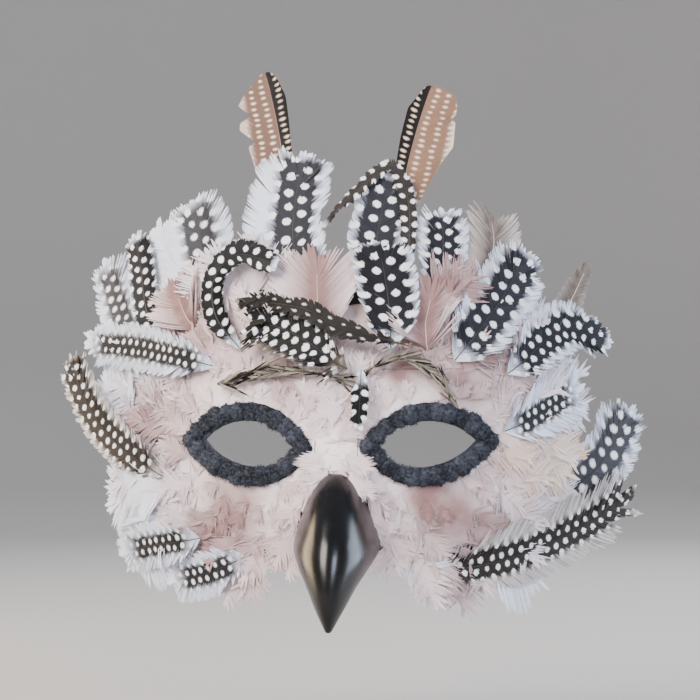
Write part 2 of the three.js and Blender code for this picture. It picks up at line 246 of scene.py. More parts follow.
def face_y(x, z):
    """How far back the face is at x, z."""
    t = unit((NOSE_TOP - z) / (NOSE_TOP - NOSE_FULL))
    nose = NOSE_HEIGHT * math.exp(-((x / NOSE_HALF_WIDTH) ** 2)) * t * t * (3 - 2 * t)
    brow = max(0, abs(z) - BROW_START)
    return arc(x, FACE_RADIUS, FACE_WRAP) + arc(brow, BROW_RADIUS, BROW_WRAP) - nose


def outward_at(point):
    """The direction away from the wearer's head at a point."""
    x = max(-FACE_WRAP, min(FACE_WRAP, point[0])) / FACE_RADIUS
    rise = math.copysign(min(BROW_WRAP, max(0, abs(point[2]) - BROW_START)), point[2])
    return Vector((x, -math.sqrt(1 - x * x), rise / BROW_RADIUS)).normalized()


print("the cheekbones are", round((face_y(FACE_WRAP, 0) - face_y(0, 0)) / MM), "mm behind the bridge")


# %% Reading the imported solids
def cad_mesh(node):
    """A node's shape as a bmesh whose corners are merged."""
    shape = bmesh.new()
    shape.from_mesh(frame["nodes"][node].data)
    bmesh.ops.remove_doubles(shape, verts=shape.verts, dist=1e-6)
    return shape


def ring_levels(start):
    """How many edges away from the start each corner is."""
    level = {start: 0}
    wave = [start]
    while wave:
        following = []
        for corner in wave:
            for edge in corner.link_edges:
                other = edge.other_vert(corner)
                if other not in level:
                    level[other] = level[corner] + 1
                    following.append(other)
        wave = following
    return level


def quill_line(node):
    """A plume's quill, from root to tip: the centres of the rings of its leaf-shaped solid."""
    shape = cad_mesh(node)
    any_corner = next(iter(shape.verts))
    first = max(ring_levels(any_corner).items(), key=lambda item: item[1])[0]
    levels = ring_levels(first)
    rings = [[] for _ in range(max(levels.values()) + 1)]
    for corner, level in levels.items():
        rings[level].append(corner.co.copy())
    centres = [sum(ring, Vector()) / len(ring) for ring in rings]
    spans = [max((a - b).length for a in ring for b in ring) for ring in (rings[1], rings[-2])]
    if spans[0] > spans[1]:  # the solid is narrower at its root
        centres.reverse()
    shape.free()
    return centres


def smooth_path(points, count):
    """Points evenly spaced on the Catmull-Rom curve through the given points."""
    points = np.array(points, float)
    ends = [2 * points[0] - points[1], *points, 2 * points[-1] - points[-2]]
    fine = []
    for a, b, c, d in zip(ends, ends[1:], ends[2:], ends[3:]):
        for t in np.linspace(0, 1, 12, endpoint=False):
            square = (2 * a - 5 * b + 4 * c - d) * t**2
            fine.append(0.5 * (2 * b + (c - a) * t + square + (3 * b - a - 3 * c + d) * t**3))
    return spread([*fine, points[-1]], count)


def spread(points, count, cut=0.0):
    """The same line in a number of equal steps, without a last stretch of the given length."""
    points = np.array(points)
    run = np.concatenate([[0], np.cumsum(np.linalg.norm(np.diff(points, axis=0), axis=1))])
    where = np.linspace(0, run[-1] - cut, count)
    return np.column_stack([np.interp(where, run, points[:, k]) for k in range(3)])


# %% [markdown]
# ## How a feather grows
# A vane is a row of barbs on each side of a quill. Each barb is a narrow ribbon that leaves the quill
# at an angle and bends towards the tip. Barbs hook together in locks, so the vane looks like one
# sheet, and its edge frays where the ends of a lock close up. One tree of Geometry Nodes grows a
# whole feather from its quill line, whose points carry the barb lengths on both sides, the angle,
# the looseness and the quill's thickness. Ribbons were chosen over a painted sheet because the
# ragged outline and the fine shadows between barbs are what make a feather look like one.

# %% The feather tree
SLANT = math.radians(50)  # between the quill and a barb, along most of the vane
LEAST_SLANT = 0.04
TIPPED = 0.22  # how far a ribbon leans forward, so that its neighbour's edge shows beside it
NARROW_END = 0.75  # the share of its width that a ribbon loses at its end
UNEVEN_LOCKS = 1.6  # how much the locks differ in size
ALONE_ASTRAY, ALONE_LIFTED = 0.3, 0.4  # how far one barb leaves its lock
LOCK_ROUND, BARB_UNEVEN = 0.8, 0.4  # how much shorter a lock's outer barbs are, and any barb may be
RAGGED = 9.0  # how much looseness adds to the fray
LONGEST = 1.08
FAN_WIDTH = 3.2  # ribbons are this much wider where the barbs fan out at the quill's end
FEATHER_INPUTS = {
    "Barb Gap": 0.45 * MM,
    "Barb Width": 0.8 * MM,
    "Segments": 6,
    "Lock Size": 7.0,  # barbs in a lock
    "Lock Pull": 0.8,  # how far the ends of a lock close up
    "Fray": 0.25,  # how much shorter a barb may be
    "Bend": 0.1,
    "Droop": 0.1,
    "Seed": 1,
}
QUILL_ROWS = ("lean", "left", "right", "loose", "thick")


def new_tree(name, numbers, others):
    """An empty tree of Geometry Nodes with named inputs, and its input sockets."""
    tree = bpy.data.node_groups.new(name, "GeometryNodeTree")
    face = tree.interface
    face.new_socket("Geometry", in_out="OUTPUT", socket_type="NodeSocketGeometry")
    face.new_socket("Geometry", in_out="INPUT", socket_type="NodeSocketGeometry")
    for key, value in numbers.items():
        kind = "NodeSocketInt" if isinstance(value, int) else "NodeSocketFloat"
        face.new_socket(key, in_out="INPUT", socket_type=kind).default_value = value
    for key, kind in others.items():
        face.new_socket(key, in_out="INPUT", socket_type="NodeSocket" + kind)
    return tree, tree.nodes.new("NodeGroupInput").outputs


def feather_tree():
    """Grows a feather on a quill line."""
    materials = {"Material": "Material", "Quill Material": "Material"}
    tree, given = new_tree("feather", FEATHER_INPUTS, materials)
    read = {
        name: add(tree, READ, {"Name": name}, data_type="FLOAT")
        for name in (*QUILL_ROWS, "along", "reach", "length", "shade", "lock")
    }
    for name in ("outward", "heading"):
        read[name] = add(tree, READ, {"Name": name}, data_type="FLOAT_VECTOR")

    # Roots of the barbs, evenly spaced along the quill.
    quill = add(tree, "GeometryNodeMeshToCurve", [given["Geometry"]])
    even = add(tree, "GeometryNodeResampleCurve", {"Curve": quill, "Length": given["Barb Gap"]},
               mode="LENGTH")
    along = add(tree, "GeometryNodeSplineParameter").outputs["Length"]
    even = add(tree, STORE, {"Geometry": even, "Name": "along", "Value": along},
               **ON_POINTS)
    tangent = add(tree, "GeometryNodeInputTangent")
    even = add(tree, STORE, {"Geometry": even, "Name": "heading", "Value": tangent},
               **WAYS_ON_POINTS)
    roots = add(tree, "GeometryNodeCurveToPoints", {"Curve": even}, mode="EVALUATED")
    sideways = add(tree, VECTOR_MATH, [read["heading"], read["outward"]],
                   operation="CROSS_PRODUCT")
    index = add(tree, "GeometryNodeInputIndex")

    # One barb: a ribbon of unit length that keeps its width and then narrows to its end.
    columns = add(tree, MATH, [given["Segments"], 1.0], operation="ADD")
    ribbon = add(tree, "GeometryNodeMeshGrid",
                 {"Size X": 1.0, "Size Y": 1.0, "Vertices X": columns, "Vertices Y": 2})
    corner = add(tree, SEPARATE, [add(tree, "GeometryNodeInputPosition")])
    reach = add(tree, MATH, [corner.outputs["X"], 0.5], operation="ADD")
    end = add(tree, MATH, [reach, 9.0], operation="POWER")
    taper = add(tree, MATH, [end, -NARROW_END, 1.0], operation="MULTIPLY_ADD")
    across = add(tree, MATH, [corner.outputs["Y"], taper], operation="MULTIPLY")
    flat = add(tree, COMBINE, [reach, across])
    ribbon = add(tree, STORE,
                 {"Geometry": ribbon.outputs["Mesh"], "Name": "reach", "Value": reach},
                 **ON_POINTS)
    ribbon = add(tree, SET_POSITION, {"Geometry": ribbon, "Position": flat})

    vanes = []
    for side, width in ((-1.0, "left"), (1.0, "right")):
        seed = add(tree, MATH, [given["Seed"], 7.0 * side], operation="ADD")
        # The lock that a barb is in, and its place there from -0.5 to 0.5. Locks differ in size.
        place = add(tree, MATH, [index, given["Lock Size"]], operation="DIVIDE")
        place = add(tree, MATH, [place, 0.37 * side], operation="ADD")
        drift = add(tree, NOISE, {"W": place, "Scale": 0.45}, noise_dimensions="1D")
        place = add(tree, MATH, [drift.outputs[0], UNEVEN_LOCKS, place], operation="MULTIPLY_ADD")
        which = add(tree, MATH, [place], operation="FLOOR")
        lock = add(tree, MATH, [place, which], operation="SUBTRACT")
        lock = add(tree, MATH, [lock, 0.5], operation="SUBTRACT")
        chance = []
        for k, (of, low) in enumerate(((index, -1.0), (index, -1.0), (index, 0.0), (index, 0.0),
                                       (which, -0.5), (which, -0.5), (which, 0.0))):
            number = add(tree, MATH, [seed, 40.0 * k], operation="ADD")
            chance.append(add(tree, RANDOM,
                              {"Min": low, "Max": low + 1 if low == -0.5 else 1.0, "ID": of, "Seed": number},
                              data_type="FLOAT"))
        # Direction of the barb: along the quill and aside, a little astray, and a little lifted.
        stray = add(tree, MATH, [chance[0], ALONE_ASTRAY, chance[4]], operation="MULTIPLY_ADD")
        angle = add(tree, MATH, [stray, read["loose"], read["lean"]], operation="MULTIPLY_ADD")
        cosine = add(tree, MATH, [angle], operation="COSINE")
        sine = add(tree, MATH, [angle], operation="SINE")
        sine = add(tree, MATH, [sine, side], operation="MULTIPLY")
        ahead = add(tree, VECTOR_MATH, {0: read["heading"], "Scale": cosine}, operation="SCALE")
        aside = add(tree, VECTOR_MATH, {0: sideways, "Scale": sine}, operation="SCALE")
        lift = add(tree, MATH, [chance[1], ALONE_LIFTED, chance[5]], operation="MULTIPLY_ADD")
        lift = add(tree, MATH, [lift, read["loose"]], operation="MULTIPLY")
        above = add(tree, VECTOR_MATH, {0: read["outward"], "Scale": lift}, operation="SCALE")
        barb = add(tree, VECTOR_MATH, [ahead, aside], operation="ADD")
        barb = add(tree, VECTOR_MATH, [barb, above], operation="ADD")
        tip = add(tree, VECTOR_MATH, {0: read["heading"], "Scale": TIPPED}, operation="SCALE")
        facing = add(tree, VECTOR_MATH, [read["outward"], tip], operation="ADD")
        turn = add(tree, TO_ROTATION, {"Primary Axis": barb, "Secondary Axis": facing},
                   primary_axis="X", secondary_axis="Z")
        # Length: the middle barbs of a lock are the longest, and some locks are torn short.
        torn = add(tree, MATH, [chance[6], 3.0], operation="POWER")
        edge = add(tree, MATH, [lock], operation="ABSOLUTE")
        edge = add(tree, MATH, [edge, LOCK_ROUND, torn], operation="MULTIPLY_ADD")
        edge = add(tree, MATH, [chance[2], BARB_UNEVEN, edge], operation="MULTIPLY_ADD")
        ragged = add(tree, MATH, [read["loose"], RAGGED], operation="MULTIPLY")
        short = add(tree, MATH, [edge, given["Fray"]], operation="MULTIPLY")
        short = add(tree, MATH, [short, ragged], operation="MULTIPLY")
        short = add(tree, MATH, [LONGEST, short], operation="SUBTRACT")
        length = add(tree, MATH, [read[width], short], operation="MULTIPLY")
        # At the quill's end the barbs fan out, so their ribbons are wider there.
        fan = add(tree, MAP_RANGE,
                  {"Value": read["lean"], "From Max": SLANT, "To Min": FAN_WIDTH, "To Max": 1.0})
        broad = add(tree, MATH, [fan, given["Barb Width"]], operation="MULTIPLY")
        size = add(tree, COMBINE, [length, broad, 1.0])
        vane = roots
        for name, value in (("length", length), ("shade", chance[3]), ("lock", lock)):
            vane = add(tree, STORE, {"Geometry": vane, "Name": name, "Value": value},
                       **ON_POINTS)
        vane = add(tree, INSTANCE,
                   {"Points": vane, "Instance": ribbon, "Rotation": turn, "Scale": size})
        vane = add(tree, REALIZE, {"Geometry": vane})
        # Where each corner is on the flat vane: forward along the quill, and out from it.
        out = add(tree, MATH, [read["reach"], read["length"]], operation="MULTIPLY")
        cosine = add(tree, MATH, [read["lean"]], operation="COSINE")
        forward = add(tree, MATH, [out, cosine, read["along"]], operation="MULTIPLY_ADD")
        sine = add(tree, MATH, [read["lean"]], operation="SINE")
        sine = add(tree, MATH, [sine, side], operation="MULTIPLY")
        out = add(tree, MATH, [out, sine], operation="MULTIPLY")
        pattern = add(tree, COMBINE, [forward, out, read["shade"]])
        vanes.append(add(tree, STORE,
                         {"Geometry": vane, "Name": "vane", "Value": pattern},
                         **WAYS_ON_POINTS))
    vane = add(tree, JOIN, [vanes[0]])
    tree.links.new(vanes[1].outputs[0], vane.inputs[0])

    # Barbs bend towards the tip and sink at their ends, and the ends of a lock close up.
    bow = add(tree, MATH, [read["reach"], 2.0], operation="POWER")
    bow = add(tree, MATH, [bow, read["length"]], operation="MULTIPLY")
    sink = add(tree, MATH, [given["Droop"], -1.0], operation="MULTIPLY")
    sink = add(tree, MATH, [sink, bow], operation="MULTIPLY")
    close = add(tree, MATH, [read["reach"], 5.0], operation="POWER")
    close = add(tree, MATH, [close, read["lock"]], operation="MULTIPLY")
    span = add(tree, MATH, [given["Lock Size"], given["Barb Gap"]], operation="MULTIPLY")
    span = add(tree, MATH, [span, given["Lock Pull"]], operation="MULTIPLY")
    close = add(tree, MATH, [close, span], operation="MULTIPLY")
    forward = add(tree, MATH, [bow, given["Bend"]], operation="MULTIPLY")
    forward = add(tree, MATH, [forward, close], operation="SUBTRACT")
    forward = add(tree, VECTOR_MATH, {0: read["heading"], "Scale": forward}, operation="SCALE")
    sink = add(tree, VECTOR_MATH, {0: read["outward"], "Scale": sink}, operation="SCALE")
    offset = add(tree, VECTOR_MATH, [forward, sink], operation="ADD")
    vane = add(tree, SET_POSITION, {"Geometry": vane, "Offset": offset})
    vane = add(tree, SET_MATERIAL, {"Geometry": vane, "Material": given["Material"]})

    ring = add(tree, "GeometryNodeCurvePrimitiveCircle", {"Resolution": 6, "Radius": 1.0}, mode="RADIUS")
    shaft = add(tree, "GeometryNodeCurveToMesh",
                {"Curve": quill, "Profile Curve": ring.outputs["Curve"], "Scale": read["thick"],
                 "Fill Caps": True})
    shaft = add(tree, SET_MATERIAL, {"Geometry": shaft, "Material": given["Quill Material"]})
    feather = add(tree, JOIN, [vane])
    tree.links.new(shaft.outputs[0], feather.inputs[0])
    smooth = add(tree, "GeometryNodeSetShadeSmooth", {"Geometry": feather, "Shade Smooth": True})
    real = add(tree, REALIZE, {"Geometry": smooth})
    tree.links.new(real.outputs[0], tree.nodes.new("NodeGroupOutput").inputs["Geometry"])
    return tree


FEATHER = feather_tree()
print("the feather tree has", len(FEATHER.nodes), "nodes")


# %% [markdown]
# ## From a tree to a piece
# A tree runs as a modifier on a small base mesh. Its result is kept as a plain mesh, so that the
# finished piece has nothing left to work out. Every piece rides on the mask in place of the packed
# solids it stands for, which are hidden.

# %% Run a tree and keep its mesh
KEPT_ATTRIBUTES = {"vane", "tint", "tone"}  # and "fade", which is added to a finished plume


def grow(name, tree, base, values):
    """Runs a tree on a mesh and returns its result as a plain mesh."""
    seedling = bpy.data.objects.new(name + "_base", base)
    bpy.context.scene.collection.objects.link(seedling)
    modifier = seedling.modifiers.new("tree", "NODES")
    modifier.node_group = tree
    sockets = {item.name: item.identifier for item in tree.interface.items_tree if item.in_out == "INPUT"}
    for key, value in values.items():
        modifier[sockets[key]] = value
    seedling.update_tag()
    graph = bpy.context.evaluated_depsgraph_get()
    graph.update()
    mesh = bpy.data.meshes.new_from_object(seedling.evaluated_get(graph))
    bpy.data.objects.remove(seedling)
    mesh.name = name
    own = {item.name for item in mesh.attributes if item.is_required or item.is_internal}
    for key in [item.name for item in mesh.attributes]:
        if key not in own | KEPT_ATTRIBUTES and not key.startswith((".", "sharp", "material")):
            mesh.attributes.remove(mesh.attributes[key])
    return mesh


def show(name, mesh, *nodes):
    """Puts a finished mesh in the scene as a piece on the mask, in place of the given nodes."""
    piece = bpy.data.objects.new(name, mesh)
    bpy.context.scene.collection.objects.link(piece)
    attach(piece, "root")
    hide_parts(*nodes)
    return piece


def quill_mesh(name, path, outward, rows):
    """A quill line as a mesh, whose points carry what the feather tree reads."""
    mesh = bpy.data.meshes.new(name + "_quill")
    edges = [(i, i + 1) for i in range(len(path) - 1)]
    mesh.from_pydata([tuple(p) for p in path], edges, [])
    facing = mesh.attributes.new("outward", "FLOAT_VECTOR", "POINT")
    facing.data.foreach_set("vector", np.array(outward, "f").ravel())
    for key in QUILL_ROWS:
        row = mesh.attributes.new(key, "FLOAT", "POINT")
        row.data.foreach_set("value", np.broadcast_to(rows[key], len(path)).astype("f"))
    return mesh


# %% [markdown]
# ## What feathers are coloured with
# Guinea fowl plumes are keratin darkened with melanin, except in round spots where the pigment
# stopped. The spots lie in staggered rows, so the pattern is worked out on the flattened vane, from
# the distance along the quill and out from it that the tree stored on every barb. Each barb has its
# own random shade, which gives the vane its fine streaks.

# %% Spotted plumes
SPOT_RADIUS = 1.35 * MM
SPOT_PITCH = (6.2 * MM, 5.6 * MM)  # along the quill and away from it
CLOUDS = 180.0  # how fine the uneven edge of the pigment is
CLOUD_REACH = 5.0  # mm, how far the pigment's edge wanders


def spotted(name, ground, spot="#fbfcff", edge="#dfe6f5", edge_from=9.0, edge_soft=3.0,
            radius=SPOT_RADIUS, pitch=SPOT_PITCH, stretch=1.25, blur=0.2, streaks=0.5, bars_from=1.5,
            dark_side=0, dark_ground=""):
    """Melanin-dark keratin with white spots: semi-matt, and the pigment soaks up most of the gloss."""
    material, tree, shader = new_material(name, roughness=0.6, specular_ior_level=0.2)
    vane = add(tree, ATTRIBUTE, attribute_name="vane")
    along, out, shade = add(tree, SEPARATE, [vane.outputs["Vector"]]).outputs
    # Every other row of spots is set half a pitch on, and each spot has a little chance in it.
    # Further out than the last full column, the spots run out along the barbs as bars.
    column = add(tree, MATH, [out, pitch[1]], operation="DIVIDE")
    column = add(tree, MATH, [column, bars_from], operation="MINIMUM")
    column = add(tree, MATH, [column, -bars_from], operation="MAXIMUM")
    column_at = add(tree, MATH, [column], operation="FLOOR")
    row = add(tree, MATH, [along, pitch[0]], operation="DIVIDE")
    row = add(tree, MATH, [column_at, 0.5, row], operation="MULTIPLY_ADD")
    row_at = add(tree, MATH, [row], operation="FLOOR")
    cell = add(tree, COMBINE, [row_at, column_at])
    chance = add(tree, "ShaderNodeTexWhiteNoise", [cell], noise_dimensions="2D")
    chance = add(tree, SEPARATE, [chance.outputs["Color"]]).outputs
    steps = []
    for value, at, wobble, scale in ((row, row_at, chance[0], pitch[0]),
                                     (column, column_at, chance[1], pitch[1] / stretch)):
        inside = add(tree, MATH, [value, at], operation="SUBTRACT")
        middle = add(tree, MATH, [wobble, 0.16, 0.42], operation="MULTIPLY_ADD")
        inside = add(tree, MATH, [inside, middle], operation="SUBTRACT")
        steps.append(add(tree, MATH, [inside, scale], operation="MULTIPLY"))
    offset = add(tree, COMBINE, steps)
    apart = add(tree, VECTOR_MATH, [offset], operation="LENGTH").outputs["Value"]
    apart = add(tree, MATH, [shade, 0.2 * radius, apart], operation="MULTIPLY_ADD")
    size = add(tree, MATH, [chance[2], 0.3 * radius, 0.95 * radius], operation="MULTIPLY_ADD")
    big = add(tree, MATH, [size, blur * MM], operation="ADD")
    small = add(tree, MATH, [size, -blur * MM], operation="ADD")
    inside = add(tree, MAP_RANGE, {"Value": apart, "From Min": big, "From Max": small})
    dark = srgb(ground)
    streak = tuple(min(1, c * 2.0 + 0.01) for c in dark[:3]) + (1,)
    amount = add(tree, MATH, [shade, streaks], operation="MULTIPLY")
    colour = add(tree, MIX, {0: amount, 6: dark, 7: streak}, data_type="RGBA")
    if dark_side:  # one vane of a wing quill is darker than the other
        sign = add(tree, MATH, [out, float(dark_side)], operation="MULTIPLY")
        sign = add(tree, MATH, [sign, 0.0], operation="GREATER_THAN")
        colour = add(tree, MIX, {0: sign, 6: colour, 7: srgb(dark_ground)}, data_type="RGBA")
    colour = add(tree, MIX, {0: inside, 6: colour, 7: srgb(spot)}, data_type="RGBA")
    # Towards the edge of a wide vane the pigment fades out unevenly.
    cloud = add(tree, NOISE, {"Vector": vane.outputs["Vector"], "Scale": CLOUDS, "Detail": 2.0})
    far = add(tree, MATH, [out], operation="ABSOLUTE")
    far = add(tree, MATH, [cloud.outputs[0], CLOUD_REACH * MM, far], operation="MULTIPLY_ADD")
    start = edge_from + CLOUD_REACH / 2
    span = start * MM, (start + edge_soft) * MM
    faded = add(tree, MAP_RANGE, {"Value": far, "From Min": span[0], "From Max": span[1]})
    ends = add(tree, ATTRIBUTE, attribute_name="fade").outputs["Fac"]
    cloud = add(tree, MATH, [cloud.outputs[0], 0.9, -0.62], operation="MULTIPLY_ADD")
    ends = add(tree, MATH, [ends, 1.6, cloud], operation="MULTIPLY_ADD", use_clamp=True)
    faded = add(tree, MATH, [faded, ends], operation="MAXIMUM")
    colour = add(tree, MIX, {0: faded, 6: colour, 7: srgb(edge)}, data_type="RGBA")
    tree.links.new(colour.outputs[2], shader.inputs["Base Color"])
    gloss = add(tree, MAP_RANGE, {"Value": shade, "To Min": 0.5, "To Max": 0.72})
    tree.links.new(gloss.outputs[0], shader.inputs["Roughness"])
    return material


CLOSE_SPOTS = spotted("close_spotted_plume", "#0b0b0c", edge="#6d6357", edge_from=8, radius=1.2 * MM,
                      pitch=(4.7 * MM, 4.3 * MM), bars_from=2.5)
SLATE = spotted("slate_plume", "#23242a", edge_from=7.0, edge_soft=4)
SLATE_DEEP = spotted("deep_slate_plume", "#121217", edge_from=9.0, edge_soft=3)
GREY = spotted("grey_plume", "#37383d", edge_from=6.5, edge_soft=6, blur=0.4)
BROWN = spotted("brown_plume", "#2b2623", edge="#c9c3c0", edge_from=5.5, radius=1.0 * MM,
                pitch=(4.6 * MM, 4.2 * MM))
LONG_SPOTS = spotted("long_spotted_plume", "#14110f", edge="#8c8174", edge_from=4, radius=0.8 * MM,
                     pitch=(6.0 * MM, 3.2 * MM), stretch=0.5, spot="#d9d2c6", blur=0.35, bars_from=2.5)
SMALL = {"radius": 1.1 * MM, "pitch": (5.0 * MM, 4.3 * MM)}
CHARCOAL_SMALL = spotted("charcoal_small_plume", "#0a0a0c", edge_from=14, **SMALL)
SLATE_SMALL = spotted("slate_small_plume", "#1b1c22", edge_from=6, **SMALL)
GREY_SMALL = spotted("grey_small_plume", "#3d3d42", edge_from=4, edge_soft=5, blur=0.35, **SMALL)
TINY = spotted("tiny_spotted_plume", "#232326", edge_from=3.5, edge_soft=3, radius=0.85 * MM, blur=0.25,
               pitch=(3.9 * MM, 3.5 * MM), bars_from=2.5)
TAN_BARS = {"radius": 0.52 * MM, "pitch": (2.5 * MM, 5.4 * MM), "stretch": 1.9, "spot": "#f2ddc6",
            "blur": 0.3, "streaks": 0.2, "bars_from": 2.5, "dark_ground": "#1d1917"}
TAN_LEFT = spotted("tan_wing_quill_left", "#6e5548", edge="#cdb9ae", edge_from=11, dark_side=1, **TAN_BARS)
TAN_RIGHT = spotted("tan_wing_quill_right", "#8b6a55", edge="#efdcc8", edge_from=12, dark_side=-1, **TAN_BARS)
# Two finishes without spots: their spots have the ground's own colour.
TAUPE = spotted("taupe_down", "#6d625b", spot="#6d625b", edge="#d5ccc6", edge_from=2, edge_soft=10,
                streaks=0.45)
ROSE = spotted("rose_body_feather", "#8f6f6b", spot="#8f6f6b", edge="#e3d2d4", edge_from=2.5, edge_soft=12,
               streaks=0.18)
print("the largest spots are about", round(2 * SPOT_RADIUS / MM, 1), "mm across")


# %% [markdown]
# ## Down and body feathers
# Down has no hooks and no pigment, so it scatters light and looks soft and bluish white. Body
# feathers are nearly the same, with a little rose, frost or peach in patches, and brown strands are
# the darkest. One function makes all three, because only their colours differ.

# %% Down and body feathers
TINTS = ("#957370", "#dfe6f5", "#e0bb93")  # rose, frost and peach


def soft_down(name, light, dull, tinted=False, bias=0.0):
    """Down: unhooked barbs that scatter the light, so it is rough, with a soft sheen."""
    material, tree, shader = new_material(name, roughness=0.8, specular_ior_level=0.25,
                                          sheen_weight=0.15, sheen_roughness=0.5)
    vane = add(tree, ATTRIBUTE, attribute_name="vane")
    shade = add(tree, SEPARATE, [vane.outputs["Vector"]]).outputs[2]
    tone = add(tree, ATTRIBUTE, attribute_name="tone").outputs["Fac"]
    dullness = add(tree, MATH, [shade, tone], operation="ADD")
    dullness = add(tree, MATH, [dullness, 0.5 + bias, bias], operation="MULTIPLY_ADD",
                   use_clamp=True)
    colour = add(tree, MIX, {0: dullness, 6: srgb(light), 7: srgb(dull)}, data_type="RGBA")
    if tinted:
        tint = add(tree, ATTRIBUTE, attribute_name="tint")
        tints = add(tree, SEPARATE, [tint.outputs["Vector"]]).outputs
        place = add(tree, COORDINATES).outputs["Object"]
        cloud = add(tree, NOISE, {"Vector": place, "Scale": 90.0, "Detail": 3.0})
        patchy = add(tree, MATH, [cloud.outputs[0], 0.9, -0.45], operation="MULTIPLY_ADD")
        patchy = add(tree, MATH, [tone, 0.12, patchy], operation="MULTIPLY_ADD")
        for amount, shift, code in zip(tints, (patchy, 0.0, 0.0), TINTS):
            amount = add(tree, MATH, [amount, shift], operation="ADD", use_clamp=True)
            colour = add(tree, MIX, {0: amount, 6: colour, 7: srgb(code)}, data_type="RGBA")
    tree.links.new(colour.outputs[2], shader.inputs["Base Color"])
    return material


WHITE = soft_down("white_down", "#f2f5ff", "#d3ddf2")
STRAND = soft_down("brown_strand", "#c9bba8", "#0c0908", bias=0.35)
BODY = soft_down("body_feather", "#f7e9ea", "#ddc6c8", tinted=True)
# Horn of a quill: smooth and a little glossy.
HORN_PALE, HORN_TAN, HORN_DARK = (
    new_material("quill_horn_" + tone, base_color=srgb(code), roughness=0.35)[0]
    for tone, code in (("pale", "#d9cfc4"), ("tan", "#8a6a58"), ("dark", "#22201f"))
)
print("soft finishes:", WHITE.name, STRAND.name, BODY.name)


# %% [markdown]
# ## A plume's outline
# The vane's edge is what the eye reads first, so it is drawn before any barb. Most plumes swell from
# the root and are rounded at the tip, which one formula gives. The two wing quills are worn and
# notched, so theirs go through a few points on each side. Each barb then gets the length at which
# its end meets the outline, found by trying lengths in small steps.

# %% Outlines
QUILL_STEPS = 70
BLUNT = 14  # the higher, the squarer the tip
SWELL_END = 0.22  # the share of the vane in which it swells from its root
LONGEST_BARB, BARB_TRIES = 26 * MM, 260
# Half widths of the two wing quills: distance from the tip and distance from the quill, in mm.
WING_OUTLINES = {
    "crest_quill_left": (
        [(0, 1.5), (3.7, 6), (8, 11), (12.4, 14.2), (15.6, 13.6), (17, 9), (17.3, 9.2), (20, 14.8),
         (24, 15.4), (27.2, 12.6), (28.6, 9), (31, 13), (45, 11), (60, 4)],
        [(0, 0.8), (2, 2.5), (5.8, 3.8), (13, 5.2), (24.8, 4.4), (32, 3.8), (60, 3)],
    ),
    "crest_quill_right": (
        [(0, 0.6), (2, 2), (12.8, 5.4), (25.6, 5), (40, 4), (60, 3)],
        [(0, 5), (2.6, 10.2), (6.2, 12), (12, 12.8), (12.3, 10.8), (14.2, 13.4), (25, 15), (31, 12.5),
         (38, 10.5), (60, 4)],
    ),
}


def rounded(width, blunt=BLUNT):
    """An outline that swells from the root and is rounded at the tip, or pointed when less blunt."""
    def half_width(place, span):
        u = np.clip(place / span, 0, 1)
        swell = np.clip(u / SWELL_END, 0, 1) ** 0.6 * (0.85 + 0.15 * u)
        return width * MM * swell * np.sqrt(1 - u**blunt)
    return half_width


def drawn(table):
    """An outline through points, each a distance from the tip and from the quill."""
    far, wide = np.array(table).T * MM
    def half_width(place, span):
        return np.where(place < span, np.interp(span - place, far, wide), 0)
    return half_width


def barb_lengths(places, lean, half_width, span):
    """How long each barb is when its end meets the outline."""
    tries = np.linspace(0.3 * MM, LONGEST_BARB, BARB_TRIES)[None, :]
    ahead = places[:, None] + tries * np.cos(lean)[:, None]
    beyond = tries * np.sin(lean)[:, None] >= half_width(ahead, span)
    return tries[0][np.where(beyond.any(axis=1), beyond.argmax(axis=1), tries.shape[1] - 1)]


def quill_rows(path, span, outlines, loose, thick, slant=SLANT):
    """What the feather tree reads at each point of a quill that belongs to a vane of this span."""
    t = np.linspace(0, 1, len(path))
    places = t * np.linalg.norm(np.diff(path, axis=0), axis=1).sum()
    lean = slant * (1 - t**9) + LEAST_SLANT
    left, right = (barb_lengths(places, lean, half_width, span) for half_width in outlines)
    return {
        "lean": lean,
        "left": left,
        "right": right,
        "loose": loose * (0.15 + 1.2 * np.clip(1 - t / 0.3, 0, 1) + 1.8 * t**5),
        "thick": thick * MM * (1 - 0.75 * t),
    }


# %% [markdown]
# ## Plumes
# Two barred wing quills stand up from the brow, and spotted plumes fan out round them, down the
# temples and along the jaw. Their pigment gives out towards the edges, the root and the tip, where
# the vane is white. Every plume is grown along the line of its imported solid. A table gives each its
# finish, its half widths and its looseness, because the plumes differ in little else.

